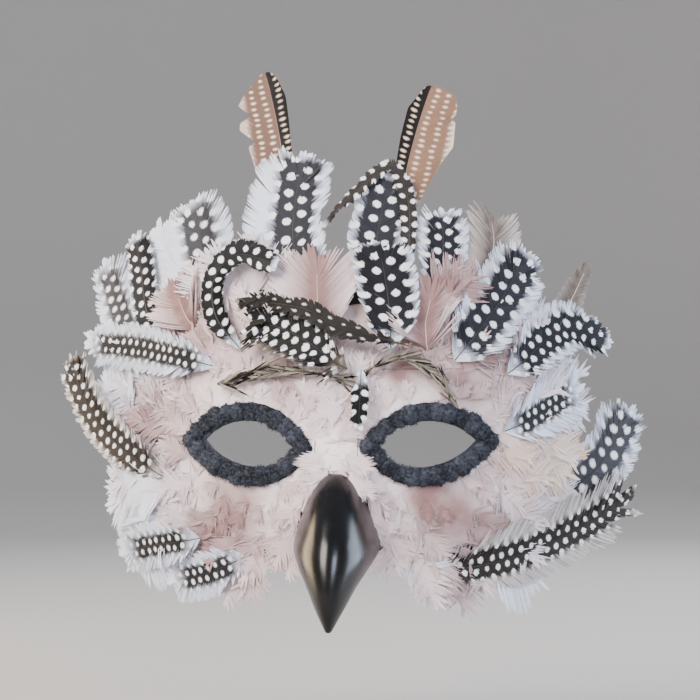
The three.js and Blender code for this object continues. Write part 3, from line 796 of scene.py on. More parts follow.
# %% The table of plumes
# name: finish, left and right half widths in mm, and looseness
PLUMES = {
    "crest_quill_left": (TAN_LEFT, 13, 5, 0.0),
    "crest_quill_right": (TAN_RIGHT, 5, 13, 0.0),
    "crown_plume_left": (SLATE, 19, 14, 0.1),
    "crown_plume_right": (SLATE, 11, 13, 0.1),
    "arching_plume": (BROWN, 4, 3.4, 0.3),
    "crown_plume_far_left": (GREY, 17, 15, 0.1),
    "crown_plume_left_back": (WHITE, 14, 14, 0.12),
    "side_plume_left_dark": (SLATE_SMALL, 9, 7.5, 0.1),
    "side_plume_left_pale": (GREY_SMALL, 12, 12, 0.14),
    "temple_down_left": (WHITE, 17, 17, 0.12),
    "crown_plume_right_inner": (SLATE_SMALL, 11, 11, 0.16),
    "down_plume_right": (TAUPE, 13, 13, 0.22),
    "side_spike_right": (TAUPE, 8, 8, 0.1),
    "side_plume_right_low": (GREY, 14, 14, 0.14),
    "jaw_down_right": (WHITE, 17, 17, 0.2),
    "jaw_tuft_right": (WHITE, 12, 12, 0.3),
    "side_plume_left_sweep": (BROWN, 10, 10, 0.16),
    "temple_plume_left": (TINY, 10, 10, 0.14),
    "cheek_tuft_left": (WHITE, 15, 15, 0.14),
    "jaw_plume_left": (WHITE, 16, 16, 0.12),
    "jaw_plume_left_small": (TINY, 10, 10, 0.16),
    "jaw_plume_left_inner": (TINY, 10, 10, 0.16),
    "curled_plume": (CHARCOAL_SMALL, 5.6, 5.6, 0.06),
    "brow_plume_lower": (CLOSE_SPOTS, 12.5, 12.5, 0.45),
    "brow_plume_upper": (LONG_SPOTS, 4.8, 4.8, 0.5),
    "centre_plume_dark": (SLATE_DEEP, 12, 13, 0.1),
    "brow_strand_left": (STRAND, 2.6, 2.6, 0.4),
    "brow_strand_right": (STRAND, 2.6, 3, 0.4),
    "bridge_plume": (CHARCOAL_SMALL, 3.6, 3.6, 0.25),
    "crown_plume_right_dark": (SLATE, 14, 14, 0.12),
    "side_plume_right_high": (SLATE_SMALL, 12, 12, 0.14),
    "side_plume_right_mid": (TINY, 12, 12, 0.16),
    "jaw_plume_right": (BROWN, 15, 15, 0.22),
    "rose_plume_centre": (ROSE, 19, 18, 0.12),
    "rose_plume_left": (ROSE, 17, 17, 0.12),
    "rose_plume_right": (ROSE, 16, 16, 0.12),
}

# %% Grow the plumes
# gap between barbs and their width in mm, fray, lock pull, and the barbs' slant as a share of SLANT
STYLES = {
    "wing": (0.35, 0.8, 0.0, 0.0, 1.0),
    "firm": (0.36, 0.68, 0.25, 0.35, 1.0),
    "down": (0.3, 0.6, 0.3, 0.4, 1.0),
    "strand": (0.45, 0.3, 0.7, 0.6, 0.24),
}
POINTED = {"side_spike_right": 1.6, "arching_plume": 3, "side_plume_right_high": 4}
TIP_FADE = {GREY: 4, GREY_SMALL: 7, TINY: 11, SLATE: 3, SLATE_SMALL: 3, BROWN: 2}  # mm, where not 1
ROOT_FADE = 9  # mm
STYLE_OF = {TAN_LEFT: "wing", TAN_RIGHT: "wing", WHITE: "down", ROSE: "down", TAUPE: "down",
            STRAND: "strand"}
HORN_OF = {"wing": HORN_TAN, "firm": HORN_DARK, "down": HORN_PALE, "strand": HORN_DARK}
LOCK = 3.2  # mm, how wide a lock of barbs is
ROOT_SUNK, SUNK_SHARE = 3.0 * MM, 0.25  # how deep a root is set in the covering, and for how long


def plume_base(node, left, right, loose, slant):
    """The quill line of a plume, with what the feather tree reads at each point of it."""
    axis = smooth_path(quill_line(node), QUILL_STEPS)
    span = np.linalg.norm(np.diff(axis, axis=0), axis=1).sum()
    heading = np.gradient(axis, axis=0)
    heading /= np.linalg.norm(heading, axis=1)[:, None]
    outward = np.array([outward_at(p) for p in axis])
    t = np.linspace(0, 1, QUILL_STEPS)
    axis = axis - outward * (np.clip(1 - t / SUNK_SHARE, 0, 1) ** 2 * ROOT_SUNK)[:, None]
    aside = (left - right) / 2 * MM * (1 - t**4)
    quill = axis + np.cross(heading, outward) * aside[:, None]
    wing = WING_OUTLINES.get(node)
    blunt = POINTED.get(node, BLUNT)
    outlines = [drawn(table) for table in wing] if wing else [rounded(left, blunt), rounded(right, blunt)]
    quill = spread(quill, QUILL_STEPS, 2 * MM if wing else 0.7 * min(left, right) * MM)
    rows = quill_rows(quill, span, outlines, loose, 0.45 if wing else 0.25, slant)
    return quill_mesh(node, quill, [outward_at(p) for p in quill], rows)


def fade_ends(mesh, tip):
    """Marks where a plume's pigment gives out: at its root, and for a distance in mm at its tip."""
    place = np.empty(3 * len(mesh.vertices), "f")
    mesh.attributes["vane"].data.foreach_get("vector", place)
    place = place[::3] / MM
    fade = np.maximum(1 - place / ROOT_FADE, 1 - (place.max() - place) / (tip + 2))
    mesh.attributes.new("fade", "FLOAT", "POINT").data.foreach_set("value", np.clip(fade, 0, 1).astype("f"))


for seed, (node, (finish, left, right, loose)) in enumerate(PLUMES.items(), 1):
    style = STYLE_OF.get(finish, "firm")
    gap, width, fray, pull, slant = STYLES[style]
    mesh = grow(node, FEATHER, plume_base(node, left, right, loose, slant * SLANT), {
        "Barb Gap": gap * MM,
        "Barb Width": width * MM,
        "Lock Size": LOCK / gap,
        "Lock Pull": pull,
        "Fray": fray,
        "Seed": 13 * seed,
        "Material": finish,
        "Quill Material": HORN_OF[style],
    })
    if style == "firm":
        fade_ends(mesh, TIP_FADE.get(finish, 1))
    show("plume_" + node, mesh, node)
print(len(PLUMES), "plumes")


# %% [markdown]
# ## The covering of body feathers
# Small soft feathers are glued all over the front, roots towards the eyes and the beak and tips
# outwards, each row over the roots of the next. A few variants are grown once, and a second tree
# scatters them over each packed patch by Poisson disk, which keeps them a feather's spacing apart.
# The patch itself, pulled in under them, stays as the glued skin that they stand on.

# %% A few body feathers
# name: length and half width in mm, and looseness
BODY_VARIANTS = {
    "broad": (17, 8.0, 0.3),
    "narrow": (19, 6.0, 0.3),
    "short": (13, 7.0, 0.4),
    "wispy": (16, 7.0, 0.45),
}
BODY_STEPS = 7

feather_box = bpy.data.collections.new("body_feathers")
for seed, (kind, (length, width, loose)) in enumerate(BODY_VARIANTS.items(), 60):
    t = np.linspace(0, 1, BODY_STEPS)
    span = length * MM
    line = np.column_stack([0.05 * span * np.sin(3 * t + seed), t * span, -0.03 * span * t**2])
    quill = spread(line, BODY_STEPS, 0.5 * width * MM)
    rows = quill_rows(quill, span, [rounded(width)] * 2, loose, 0.12)
    base = quill_mesh(kind, quill, [(0, 0, 1)] * BODY_STEPS, rows)
    mesh = grow("body_" + kind, FEATHER, base, {
        "Barb Gap": 0.36 * MM,
        "Barb Width": 0.36 * MM,
        "Segments": 3,
        "Lock Size": 4.0,
        "Fray": 0.4,
        "Droop": 0.06,
        "Seed": seed,
        "Material": BODY,
        "Quill Material": HORN_PALE,
    })
    feather_box.objects.link(bpy.data.objects.new("body_" + kind, mesh))
    print(kind, "body feather:", len(mesh.polygons), "faces")


# %% The covering tree
COVERING_INPUTS = {"Spacing": 2.9 * MM, "Turn": 0.45, "Lift": 0.27, "Seed": 1}
MOST_ROOTS = 900000.0  # per square metre, before the spacing thins them


def covering_tree():
    """Scatters body feathers over the front of a patch, and keeps the patch under them."""
    others = {"Feathers": "Collection", "Material": "Material"}
    tree, given = new_tree("covering", COVERING_INPUTS, others)
    kinds = {"front": "FLOAT", "size": "FLOAT", "flow": "FLOAT_VECTOR", "outward": "FLOAT_VECTOR"}
    read = {name: add(tree, READ, {"Name": name}, data_type=kind) for name, kind in kinds.items()}
    front = add(tree, "FunctionNodeCompare", {"A": read["front"], "B": 0.5}, operation="GREATER_THAN")
    roots = add(tree, "GeometryNodeDistributePointsOnFaces",
                {"Mesh": given["Geometry"], "Selection": front, "Distance Min": given["Spacing"],
                 "Density Max": MOST_ROOTS, "Seed": given["Seed"]}, distribute_method="POISSON")
    # Chances for the turn, the lift, the size and the tone, each from this value up to 1.
    chance = []
    for k, low in enumerate((-1.0, 0.5, 0.8, 0.0), 3):
        seed = add(tree, MATH, [given["Seed"], float(k)], operation="ADD")
        chance.append(add(tree, RANDOM, {"Min": low, "Max": 1.0, "Seed": seed}, data_type="FLOAT"))
    turn = add(tree, MATH, [chance[0], given["Turn"]], operation="MULTIPLY")
    flow = add(tree, "ShaderNodeVectorRotate",
               {"Vector": read["flow"], "Axis": read["outward"], "Angle": turn}, rotation_type="AXIS_ANGLE")
    lift = add(tree, MATH, [chance[1], given["Lift"]], operation="MULTIPLY")
    back = add(tree, VECTOR_MATH, {0: flow, "Scale": lift}, operation="SCALE")
    facing = add(tree, VECTOR_MATH, [read["outward"], back], operation="SUBTRACT")
    rotation = add(tree, TO_ROTATION, {"Primary Axis": facing, "Secondary Axis": flow},
                   primary_axis="Z", secondary_axis="Y")
    size = add(tree, MATH, [chance[2], read["size"]], operation="MULTIPLY")
    points = add(tree, STORE,
                 {"Geometry": roots.outputs["Points"], "Name": "tone", "Value": chance[3]},
                 **ON_POINTS)
    box = add(tree, "GeometryNodeCollectionInfo",
              {"Collection": given["Feathers"], "Separate Children": True, "Reset Children": True})
    last = len(BODY_VARIANTS) - 1
    which = add(tree, RANDOM, {"Min": 0, "Max": last, "Seed": given["Seed"]}, data_type="INT")
    feathers = add(tree, INSTANCE,
                   {"Points": points, "Instance": box, "Pick Instance": True, "Instance Index": which,
                    "Rotation": rotation, "Scale": size})
    feathers = add(tree, REALIZE, {"Geometry": feathers})
    both = add(tree, JOIN, [given["Geometry"]])
    tree.links.new(feathers.outputs[0], both.inputs[0])
    real = add(tree, REALIZE, {"Geometry": both})
    done = add(tree, SET_MATERIAL, {"Geometry": real, "Material": given["Material"]})
    tree.links.new(done.outputs[0], tree.nodes.new("NodeGroupOutput").inputs["Geometry"])
    return tree


COVERING = covering_tree()
print("the covering tree has", len(COVERING.nodes), "nodes")

# %% [markdown]
# ## How the body feathers lie
# A maker glues them so that they point away from the face's middle, curve round the eyes and run
# down beside the beak, with larger ones at the rim to hide the shell's edge. Here a direction and a
# size are worked out at each corner of the patch, and the second tree reads them. The soft patches
# of rose are feathers of another tint among the pale ones.

# %% How the feathers lie, and their tints
SKIN_SINK = 3.1 * MM
EYES = (Vector((-34, 0)), Vector((34, 0)))
# Soft patches of rose: middle x and z, and reach, in mm.
ROSE_PATCHES = ((-42, -26, 24), (46, -29, 24), (34, -20, 12), (-6, 62, 28), (-58, 34, 18), (-70, 4, 18),
                (-21, 21, 13), (25, 27, 13), (52, 24, 18), (36, 48, 20))
PEACH_PATCHES = ((68, -6, 12),)
PATCH_SOFT = 0.7  # the share of its reach at which a patch is down to about a third
# Where the feathers are larger: by how much, from what distance in mm and over how many mm.
SMALLEST = 0.62
FROM_EYE, AT_RIM, AT_TOP, AT_SIDES = (0.38, 22, 16), (0.45, 40, 14), (0.5, 44, 12), (0.25, 56, 10)
AT_BOTTOM = {"left": 0.05, "right": 0.25}
BOTTOM_START, BOTTOM_SOFT = 32, 8
FROST_START, FROST_SOFT = 52, 22


def ramp(value, start, soft):
    """Rises from 0 at the start to 1 when the value is the soft width past it."""
    return unit((value - start) / soft)


def nearness(x, z, patches):
    """How far inside soft round patches a point is, from 0 to 1."""
    away = [((x - a) ** 2 + (z - b) ** 2) / (PATCH_SOFT * reach) ** 2 for a, b, reach in patches]
    return min(1, sum(math.exp(-value) for value in away))


def flow_at(x, z):
    """Which way the feathers lie at x, z in mm."""
    flow = Vector((x, z + 12)).normalized()  # outwards, from a point below the bridge
    for eye in EYES:  # away from the eyes, close to them
        away = Vector(((x - eye.x) / 1.3, z))
        flow += 2.0 * away.normalized() * math.exp(-(((away.length - 16) / 12) ** 2))
    beak = Vector((x / 0.62, z + 34))  # down along the beak's sides and over its top
    beside = 4.0 * math.exp(-(((beak.length - 26) / 8) ** 2))
    down = Vector((max(beak.y, 0), -abs(beak.x))).normalized()
    flow += beside * Vector((math.copysign(down.x, x), down.y))
    over_beak = 5.0 * math.exp(-((x / 7) ** 2) - ((z + 8) / 5) ** 2)
    return flow - Vector((0, 1)) * (over_beak + 2.0 * ramp(-z, 34, 8))


def in_front(corner):
    """Whether a corner belongs to a face that looks away from the wearer."""
    return any(face.normal.dot(outward_at(corner.co)) > 0.7 for face in corner.link_faces)


def covering_skin(node):
    """A patch with its front pulled in, and the directions and tints that its feathers take."""
    shape = cad_mesh(node)
    for corner in shape.verts:
        if in_front(corner):
            corner.co -= SKIN_SINK * outward_at(corner.co)
    bmesh.ops.subdivide_edges(shape, edges=shape.edges[:], cuts=3, use_grid_fill=True)
    shape.normal_update()
    fronts = [in_front(corner) for corner in shape.verts]
    mesh = bpy.data.meshes.new(node + "_skin")
    shape.to_mesh(mesh)
    shape.free()
    rows = {"front": [], "size": [], "flow": [], "outward": [], "tint": []}
    for corner, front in zip(mesh.vertices, fronts):
        x, z = corner.co.x / MM, corner.co.z / MM
        outward = outward_at(corner.co)
        flow = flow_at(x, z)
        flow = Vector((flow.x, 0, flow.y))
        eye = min((Vector((x, z)) - eye).length for eye in EYES)
        rows["front"].append(float(front))
        size = SMALLEST + AT_BOTTOM["right" if x > 0 else "left"] * ramp(-z, BOTTOM_START, BOTTOM_SOFT)
        from_middle = math.hypot(x / 1.3, z - 5)
        for value, (more, start, soft) in (
            (eye, FROM_EYE), (from_middle, AT_RIM), (z, AT_TOP), (abs(x), AT_SIDES),
        ):
            size += more * ramp(value, start, soft)
        rows["size"].append(size)
        rows["flow"].append((flow - flow.dot(outward) * outward).normalized())
        rows["outward"].append(outward)
        rose = nearness(x, z, ROSE_PATCHES)
        frost = ramp(math.hypot(x / 1.15, z - 5), FROST_START, FROST_SOFT) * (1 - 0.8 * rose)
        rows["tint"].append((rose - 0.1, frost, nearness(x, z, PEACH_PATCHES)))
    for key, values in rows.items():
        flat = np.array(values, "f")
        kind, field = ("FLOAT", "value") if flat.ndim == 1 else ("FLOAT_VECTOR", "vector")
        mesh.attributes.new(key, kind, "POINT").data.foreach_set(field, flat.ravel())
    return mesh


# %% Cover the front
covers = sorted(node for node in frame["nodes"] if node.endswith(("_cover", "_cover_left", "_cover_right")))
for seed, node in enumerate(covers, 1):
    values = {"Seed": 31 * seed, "Feathers": feather_box, "Material": BODY}
    mesh = grow(node, COVERING, covering_skin(node), values)
    show("feathers_" + node, mesh, node)
    print(node, len(mesh.polygons), "faces")
for sample in list(feather_box.objects):
    bpy.data.objects.remove(sample)
bpy.data.collections.remove(feather_box)


# %% [markdown]
# ## Braid round the eyes
# The trim is chenille: a cord whose pile stands out all round, sewn down so that it puffs into lobes.
# A tree sets a puff at even steps round the almond-shaped middle line, roughens each, and plants
# short pile on it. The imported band, thinned, stays underneath as the backing tape.

# %% The braid's tree
BRAID_INPUTS = {
    "Pitch": 5.4 * MM,
    "Puff Length": 3.6 * MM,
    "Puff Width": 3.7 * MM,
    "Puff Height": 2.3 * MM,
    "Lumps": 0.9 * MM,
    "Pile Length": 1.1 * MM,
    "Pile Density": 0.9e6,  # per square metre
    "Seed": 1,
}
# Radii of a fibre. A real one is finer, and is drawn as thick as it needs to be to show.
FIBRE_ROOT, FIBRE_TIP = 0.17 * MM, 0.03 * MM


def braid_tree():
    """Sets puffs of chenille along a line and plants pile on them."""
    tree, given = new_tree("chenille_braid", BRAID_INPUTS, {"Material": "Material"})
    outward = add(tree, READ, {"Name": "outward"}, data_type="FLOAT_VECTOR")
    heading = add(tree, READ, {"Name": "heading"}, data_type="FLOAT_VECTOR")
    line = add(tree, "GeometryNodeMeshToCurve", [given["Geometry"]])
    line = add(tree, "GeometryNodeResampleCurve", {"Curve": line, "Length": given["Pitch"]}, mode="LENGTH")
    tangent = add(tree, "GeometryNodeInputTangent")
    line = add(tree, STORE, {"Geometry": line, "Name": "heading", "Value": tangent},
               **WAYS_ON_POINTS)
    places = add(tree, "GeometryNodeCurveToPoints", {"Curve": line}, mode="EVALUATED")
    # Chances for a puff's turn and its size.
    chance = []
    for k, (low, high) in enumerate(((-0.22, 0.22), (0.88, 1.12))):
        seed = add(tree, MATH, [given["Seed"], float(k)], operation="ADD")
        chance.append(add(tree, RANDOM, {"Min": low, "Max": high, "Seed": seed}, data_type="FLOAT"))
    slant = add(tree, "ShaderNodeVectorRotate", {"Vector": heading, "Axis": outward, "Angle": chance[0]},
                rotation_type="AXIS_ANGLE")
    turn = add(tree, TO_ROTATION, {"Primary Axis": outward, "Secondary Axis": slant},
               primary_axis="Z", secondary_axis="X")
    size = add(tree, COMBINE, [given["Puff Length"], given["Puff Width"], given["Puff Height"]])
    size = add(tree, VECTOR_MATH, {0: size, "Scale": chance[1]}, operation="SCALE")
    ball = add(tree, "GeometryNodeMeshIcoSphere", {"Radius": 1.0, "Subdivisions": 4})
    puffs = add(tree, INSTANCE,
                {"Points": places, "Instance": ball.outputs["Mesh"], "Rotation": turn, "Scale": size})
    puffs = add(tree, REALIZE, {"Geometry": puffs})
    # Lumps: the pile stands in tufts.
    where = add(tree, "GeometryNodeInputPosition")
    lumps = add(tree, NOISE, {"Vector": where, "Scale": 520.0, "Detail": 2.0})
    raised = add(tree, MATH, [lumps.outputs[0], 0.5], operation="SUBTRACT")
    raised = add(tree, MATH, [raised, given["Lumps"]], operation="MULTIPLY")
    raised = add(tree, MATH, [raised, 2.0], operation="MULTIPLY")
    normal = add(tree, "GeometryNodeInputNormal")
    offset = add(tree, VECTOR_MATH, {0: normal, "Scale": raised}, operation="SCALE")
    puffs = add(tree, SET_POSITION, {"Geometry": puffs, "Offset": offset})
    puffs = add(tree, "GeometryNodeSetShadeSmooth", {"Geometry": puffs, "Shade Smooth": True})
    # Pile: short tapered fibres, a little astray from the surface's own direction.
    roots = add(tree, "GeometryNodeDistributePointsOnFaces",
                {"Mesh": puffs, "Density": given["Pile Density"], "Seed": given["Seed"]},
                distribute_method="RANDOM")
    astray = add(tree, RANDOM, {"Min": (-0.6, -0.6, -0.6), "Max": (0.6, 0.6, 0.6)},
                 data_type="FLOAT_VECTOR")
    along = add(tree, VECTOR_MATH, [roots.outputs["Normal"], astray], operation="ADD")
    turn = add(tree, "FunctionNodeAlignRotationToVector", {"Vector": along}, axis="Z")
    fibre = add(tree, "GeometryNodeMeshCone",
                {"Vertices": 3, "Radius Top": FIBRE_TIP, "Radius Bottom": FIBRE_ROOT,
                 "Depth": given["Pile Length"]}, fill_type="NONE")
    pile = add(tree, INSTANCE,
               {"Points": roots.outputs["Points"], "Instance": fibre.outputs["Mesh"], "Rotation": turn})
    pile = add(tree, REALIZE, {"Geometry": pile})
    both = add(tree, JOIN, [puffs])
    tree.links.new(pile.outputs[0], both.inputs[0])
    real = add(tree, REALIZE, {"Geometry": both})
    done = add(tree, SET_MATERIAL, {"Geometry": real, "Material": given["Material"]})
    tree.links.new(done.outputs[0], tree.nodes.new("NodeGroupOutput").inputs["Geometry"])
    return tree


# %% [markdown]
# ## The chenille's colour
# Dyed pile looks dark where you look into it and paler on the tips that catch the light, and here
# that light and shade is painted into the colour. Two noises mix two slates: a fine one paints shade
# down in the pile and highlight on the tufts' tips, and a broad one gives uneven dye. The fine one is
# also the height of a bump, because single fibres below the modelled pile are too fine to model.

# %% Chenille
# Cut rayon pile dyed slate blue: matt, with a soft sheen, and a painted highlight on the tips where the pile
# catches light.
CHENILLE, tree, shader = new_material("chenille_slate", roughness=0.85, specular_ior_level=0.2,
                                      sheen_weight=0.25, sheen_roughness=0.5)
shader.inputs["Sheen Tint"].default_value = srgb("#9aa0ad")
place = add(tree, COORDINATES).outputs["Object"]
tufts = add(tree, NOISE, {"Vector": place, "Scale": 900.0, "Detail": 4.0})
bands = add(tree, NOISE, {"Vector": place, "Scale": 120.0, "Detail": 1.0})
# The fine noise paints shade in the pile and highlight on the tufts; the broad one is uneven dye.
mixed = add(tree, MATH, [bands.outputs[0], 0.6, tufts.outputs[0]], operation="MULTIPLY_ADD")
mixed = add(tree, MAP_RANGE, {"Value": mixed, "From Min": 0.62, "From Max": 1.02})
colour = add(tree, MIX, {0: mixed, 6: srgb("#15171c"), 7: srgb("#434751")}, data_type="RGBA")
tree.links.new(colour.outputs[2], shader.inputs["Base Color"])
grain = add(tree, BUMP, {"Height": tufts.outputs[0], "Strength": 0.6, "Distance": 0.3 * MM})
tree.links.new(grain.outputs[0], shader.inputs["Normal"])

# %% The braid round each eye
TRIM_MIDDLE = {"half": 22.6, "rise": 12.9, "drop": 12.6, "cant": 1.6}  # mm
TRIM_CENTRE = {-1: 34.4, 1: 33.3}  # mm, the left eye's and the right eye's
TRIM_FRONT = 5.6 * MM  # in front of the lining's back
BACKING_SINK = 0.9 * MM
BRIDGE_Y = face_y(0, 0)


def face_point(x, z, out):
    """The point a distance in front of the lining's back at x, z, and the direction away from the face."""
    step = 0.5 * MM
    slope_x = (face_y(x + step, z) - face_y(x - step, z)) / (2 * step)
    slope_z = (face_y(x, z + step) - face_y(x, z - step)) / (2 * step)
    normal = Vector((slope_x, -1, slope_z)).normalized()
    return Vector((x, face_y(x, z) - BRIDGE_Y, z)) + out * normal, normal


def almond(side, steps):
    """Points round the trim's middle line: two Bezier arcs between the corners of the eye."""
    half, rise, drop, cant = TRIM_MIDDLE.values()
    points = []
    for height, end in ((rise, 1), (-drop, -1)):
        handle = 4 / 3 * height
        corners = [(-half, -cant), (-half / 2, handle - cant / 2),
                   (half / 2, handle + cant / 2), (half, cant)]
        for t in np.linspace(0, 1, steps, endpoint=False):
            t = t if end > 0 else 1 - t
            weights = ((1 - t) ** 3, 3 * t * (1 - t) ** 2, 3 * t * t * (1 - t), t**3)
            x, z = (sum(w * c[k] for w, c in zip(weights, corners)) for k in range(2))
            points.append((side * (TRIM_CENTRE[side] + x) * MM, z * MM))
    return points


BRAID = braid_tree()
for seed, (name, side) in enumerate((("left", -1), ("right", 1)), 5):
    node = "eye_trim_" + name
    line = [face_point(x, z, TRIM_FRONT) for x, z in almond(side, 40)]
    base = bpy.data.meshes.new(node + "_line")
    base.from_pydata([p for p, _ in line], [(i, (i + 1) % len(line)) for i in range(len(line))], [])
    facing = base.attributes.new("outward", "FLOAT_VECTOR", "POINT")
    facing.data.foreach_set("vector", np.array([n for _, n in line], "f").ravel())
    mesh = grow(node, BRAID, base, {"Seed": seed, "Material": CHENILLE})
    shape = cad_mesh(node)
    for corner in shape.verts:
        if in_front(corner):
            corner.co -= BACKING_SINK * outward_at(corner.co)
    shape.from_mesh(mesh)
    for face in shape.faces:
        face.material_index = 0
    mesh.materials.clear()
    mesh.materials.append(CHENILLE)
    shape.to_mesh(mesh)
    shape.free()
    show("braid_" + node, mesh, node)
    print(node, len(mesh.polygons), "faces")


# %% [markdown]
# ## Beak
# The beak is a thin hollow moulding, clipped to the front of the shell: wide at the cheeks, with a
# soft ridge that curves down to a hooked tip. It is lofted from rings, one at each height. A ring
# runs over the outside from edge to edge and back along the inside, so the wall has its thickness
# from the start, and one level of Subdivision Surface rounds the ring's own corners.

# %% Beak
BEAK_WALL = 1.5 * MM
SHELL_FRONT = 3.7 * MM
# In mm: height, half width, how far forward the ridge is, and the side edges.
BEAK_RINGS = [
    (-11, 5, -10, 6), (-13.5, 8.4, -14, 6), (-18, 10.9, -20, 6), (-26, 13.9, -28.4, 6),
    (-34, 16.2, -34, 4.8), (-40, 17, -37, 1), (-46, 14.4, -38.9, -9), (-53.5, 10, -40, -20.5),
    (-60.5, 6.5, -39.7, -27.6), (-66, 3.6, -38.6, -32), (-71, 0.9, -36, -34.8),
]
BEAK_TOP, BEAK_TIP = -11, -70.8
BEAK_LEVELS, BEAK_ROUND = 34, 28  # rings, and steps from edge to edge
BELOW_SHELL = -46 * MM  # from here down the beak stands free of the shell
FINE = 200  # points on the smooth curves through the rings' values


def beak_ring(z, half, ridge, edge, wall):
    """Points over the beak at one height, from its left edge to its right."""
    points = []
    for turn in np.linspace(-math.pi / 2, math.pi / 2, BEAK_ROUND + 1):
        x = (half - wall) * math.sin(turn)
        y = edge + min(0, ridge + wall - edge) * max(0, math.cos(turn)) ** 1.1
        back = face_y(x, z) - BRIDGE_Y - SHELL_FRONT
        points.append((x, min(y, back) if z > BELOW_SHELL else y, z))
    return points


levels = smooth_path([(z, half, ridge) for z, half, ridge, _ in BEAK_RINGS], FINE) * MM
edge_at = smooth_path([(z, edge, 0) for z, _, _, edge in BEAK_RINGS], FINE) * MM
heights = np.linspace(BEAK_TOP, BEAK_TIP, BEAK_LEVELS) * MM
rings = []
for z in heights:
    half, ridge = (np.interp(-z, -levels[:, 0], levels[:, k]) for k in (1, 2))
    edge = np.interp(-z, -edge_at[:, 0], edge_at[:, 1])
    wall = min(BEAK_WALL, 0.6 * half)
    rings.append(beak_ring(z, half, ridge, edge, 0) + beak_ring(z, half, ridge, edge, wall)[::-1])
count = len(rings[0])
faces = []
for start in range(0, (BEAK_LEVELS - 1) * count, count):
    for i in range(count):
        beside = (i + 1) % count
        faces.append((start + i, start + beside, start + count + beside, start + count + i))
for start in (0, (BEAK_LEVELS - 1) * count):
    for i in range(BEAK_ROUND):
        faces.append((start + i, start + i + 1, start + count - 2 - i, start + count - 1 - i))
beak_mesh = bpy.data.meshes.new("beak")
beak_mesh.from_pydata([p for ring in rings for p in ring], [], faces)
shape = bmesh.new()
shape.from_mesh(beak_mesh)
bmesh.ops.recalc_face_normals(shape, faces=shape.faces)
shape.to_mesh(beak_mesh)
shape.free()
beak_mesh.shade_smooth()

# %% The beak's finish
# Glossy black plastic, moulded and polished: a clear reflection, blurred a little by handling.
BEAK_BLACK, tree, shader = new_material("polished_black_plastic", base_color=srgb("#070707"),
                                        specular_ior_level=0.4)
place = add(tree, COORDINATES).outputs["Object"]
smears = add(tree, NOISE, {"Vector": place, "Scale": 70.0, "Detail": 4.0})
gloss = add(tree, MAP_RANGE, {"Value": smears.outputs[0], "From Min": 0.3, "From Max": 0.7,
                                         "To Min": 0.2, "To Max": 0.3})
tree.links.new(gloss.outputs[0], shader.inputs["Roughness"])
ripple = add(tree, NOISE, {"Vector": place, "Scale": 45.0, "Detail": 1.0})
ripple = add(tree, BUMP, {"Height": ripple.outputs[0], "Strength": 0.25, "Distance": 0.4 * MM})
tree.links.new(ripple.outputs[0], shader.inputs["Normal"])
beak_mesh.materials.append(BEAK_BLACK)
beak = show("moulded_beak", beak_mesh, "beak")
rounding = beak.modifiers.new("rounding", "SUBSURF")
rounding.levels = rounding.render_levels = 1
print("beak", len(beak_mesh.polygons), "faces")


# %% [markdown]
# ## Shell, lining and eyelets
# Behind the feathers is a thin vacuum-formed shell with a felt lining glued inside it, and a brass
# eyelet at each temple for a strap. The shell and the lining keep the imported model's own corners,
# merged and shaded smooth but for their edges, because that shape is already the real one.

# %% Shell and lining
def smoothed(node, name, material):
    """A node's shape with merged corners, smooth but for its sharp edges."""
    shape = cad_mesh(node)
    mesh = bpy.data.meshes.new(name)
    shape.to_mesh(mesh)
    shape.free()
    mesh.shade_smooth()
    mesh.set_sharp_from_angle(angle=math.radians(35))
    mesh.materials.append(material)
    return show(name, mesh, node)


# Vacuum-formed plastic, matt black, with the fine orange peel of the mould.
SHELL_BLACK, tree, shader = new_material("matt_black_plastic", base_color=srgb("#161517"), roughness=0.6)
place = add(tree, COORDINATES).outputs["Object"]
peel = add(tree, NOISE, {"Vector": place, "Scale": 700.0, "Detail": 2.0})
peel = add(tree, BUMP, {"Height": peel.outputs[0], "Strength": 0.3, "Distance": 0.15 * MM})
tree.links.new(peel.outputs[0], shader.inputs["Normal"])

# Needle-punched felt: matted fibres with a soft, uneven nap.
FELT, tree, shader = new_material("charcoal_felt", roughness=0.95, specular_ior_level=0.15,
                                  sheen_weight=0.3, sheen_roughness=0.6)
place = add(tree, COORDINATES).outputs["Object"]
nap = add(tree, NOISE, {"Vector": place, "Scale": 1400.0, "Detail": 5.0, "Roughness": 0.7})
worn = add(tree, NOISE, {"Vector": place, "Scale": 60.0, "Detail": 3.0})
mixed = add(tree, MATH, [nap.outputs[0], worn.outputs[0]], operation="MULTIPLY")
mixed = add(tree, MAP_RANGE, {"Value": mixed, "From Min": 0.15, "From Max": 0.4})
colour = add(tree, MIX, {0: mixed, 6: srgb("#101012"), 7: srgb("#34333a")}, data_type="RGBA")
tree.links.new(colour.outputs[2], shader.inputs["Base Color"])
fuzz = add(tree, BUMP, {"Height": nap.outputs[0], "Strength": 0.8, "Distance": 0.25 * MM})
tree.links.new(fuzz.outputs[0], shader.inputs["Normal"])

shell = smoothed("mask_shell", "formed_shell", SHELL_BLACK)
lining = smoothed("felt_lining", "lining_felt", FELT)

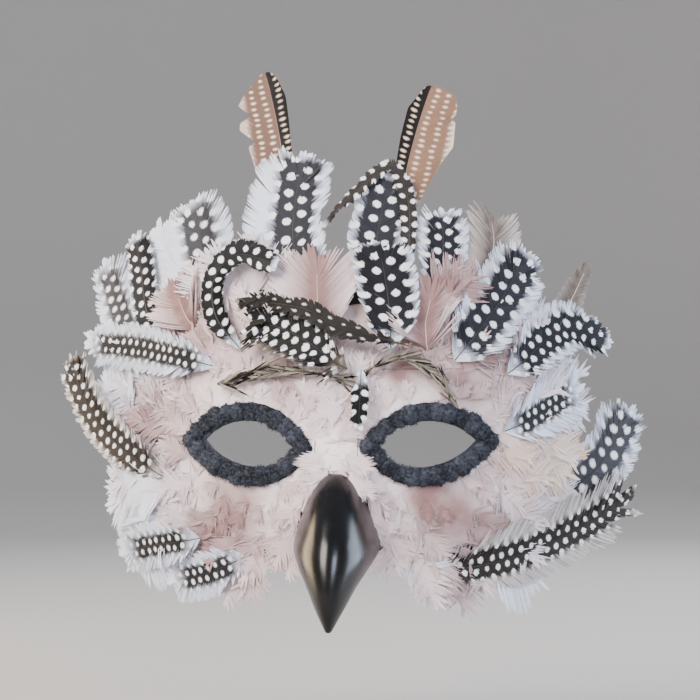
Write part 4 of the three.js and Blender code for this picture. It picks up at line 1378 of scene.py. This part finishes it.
# %% [markdown]
# ## Eyelets
# An eyelet is a short tube of sheet brass whose two ends are rolled over the edge of the hole. It is
# the same all the way round, so its section is drawn once and spun about the hole's axis.

# %% Eyelets
# Brass, pressed and rolled over: a warm metal with fine scuffs.
BRASS, tree, shader = new_material("rolled_brass", base_color=srgb("#b08d4f"), metallic=1.0)
place = add(tree, COORDINATES).outputs["Object"]
scuffs = add(tree, NOISE, {"Vector": place, "Scale": 800.0, "Detail": 3.0})
gloss = add(tree, MAP_RANGE, {"Value": scuffs.outputs[0], "To Min": 0.2, "To Max": 0.45})
tree.links.new(gloss.outputs[0], shader.inputs["Roughness"])
# The section, in mm: distance from the axis, and how far forward along it.
ROLLED = [
    (2.0, -0.5), (2.2, -0.8), (2.6, -0.9), (3.6, -0.85), (4.35, -0.65), (4.6, -0.42), (4.45, -0.3),
    (2.9, -0.3), (2.9, 3.6), (4.45, 3.6), (4.6, 3.72), (4.35, 3.95), (3.6, 4.15), (2.6, 4.2),
    (2.2, 4.1), (2.0, 3.8),
]
EYELET_FRONT, EYELET_BACK = 4.2 * MM, -0.9 * MM

for side in ("left", "right"):
    node = "strap_eyelet_" + side
    solid = cad_mesh(node)
    middle = sum((v.co for v in solid.verts), Vector()) / len(solid.verts)
    solid.free()
    axis = outward_at(middle)
    start = middle - (EYELET_FRONT + EYELET_BACK) / 2 * axis
    across = axis.orthogonal().normalized()
    shape = bmesh.new()
    section = [shape.verts.new(start + r * MM * across + h * MM * axis) for r, h in ROLLED]
    loop = [shape.edges.new(pair) for pair in zip(section, section[1:] + section[:1])]
    bmesh.ops.spin(shape, geom=section + loop, cent=start, axis=axis, angle=math.tau, steps=48)
    bmesh.ops.remove_doubles(shape, verts=shape.verts, dist=1e-6)
    bmesh.ops.recalc_face_normals(shape, faces=shape.faces)
    mesh = bpy.data.meshes.new(node)
    shape.to_mesh(mesh)
    shape.free()
    mesh.shade_smooth()
    mesh.set_sharp_from_angle(angle=math.radians(50))
    mesh.materials.append(BRASS)
    show("rolled_" + node, mesh, node)
print("two eyelets")
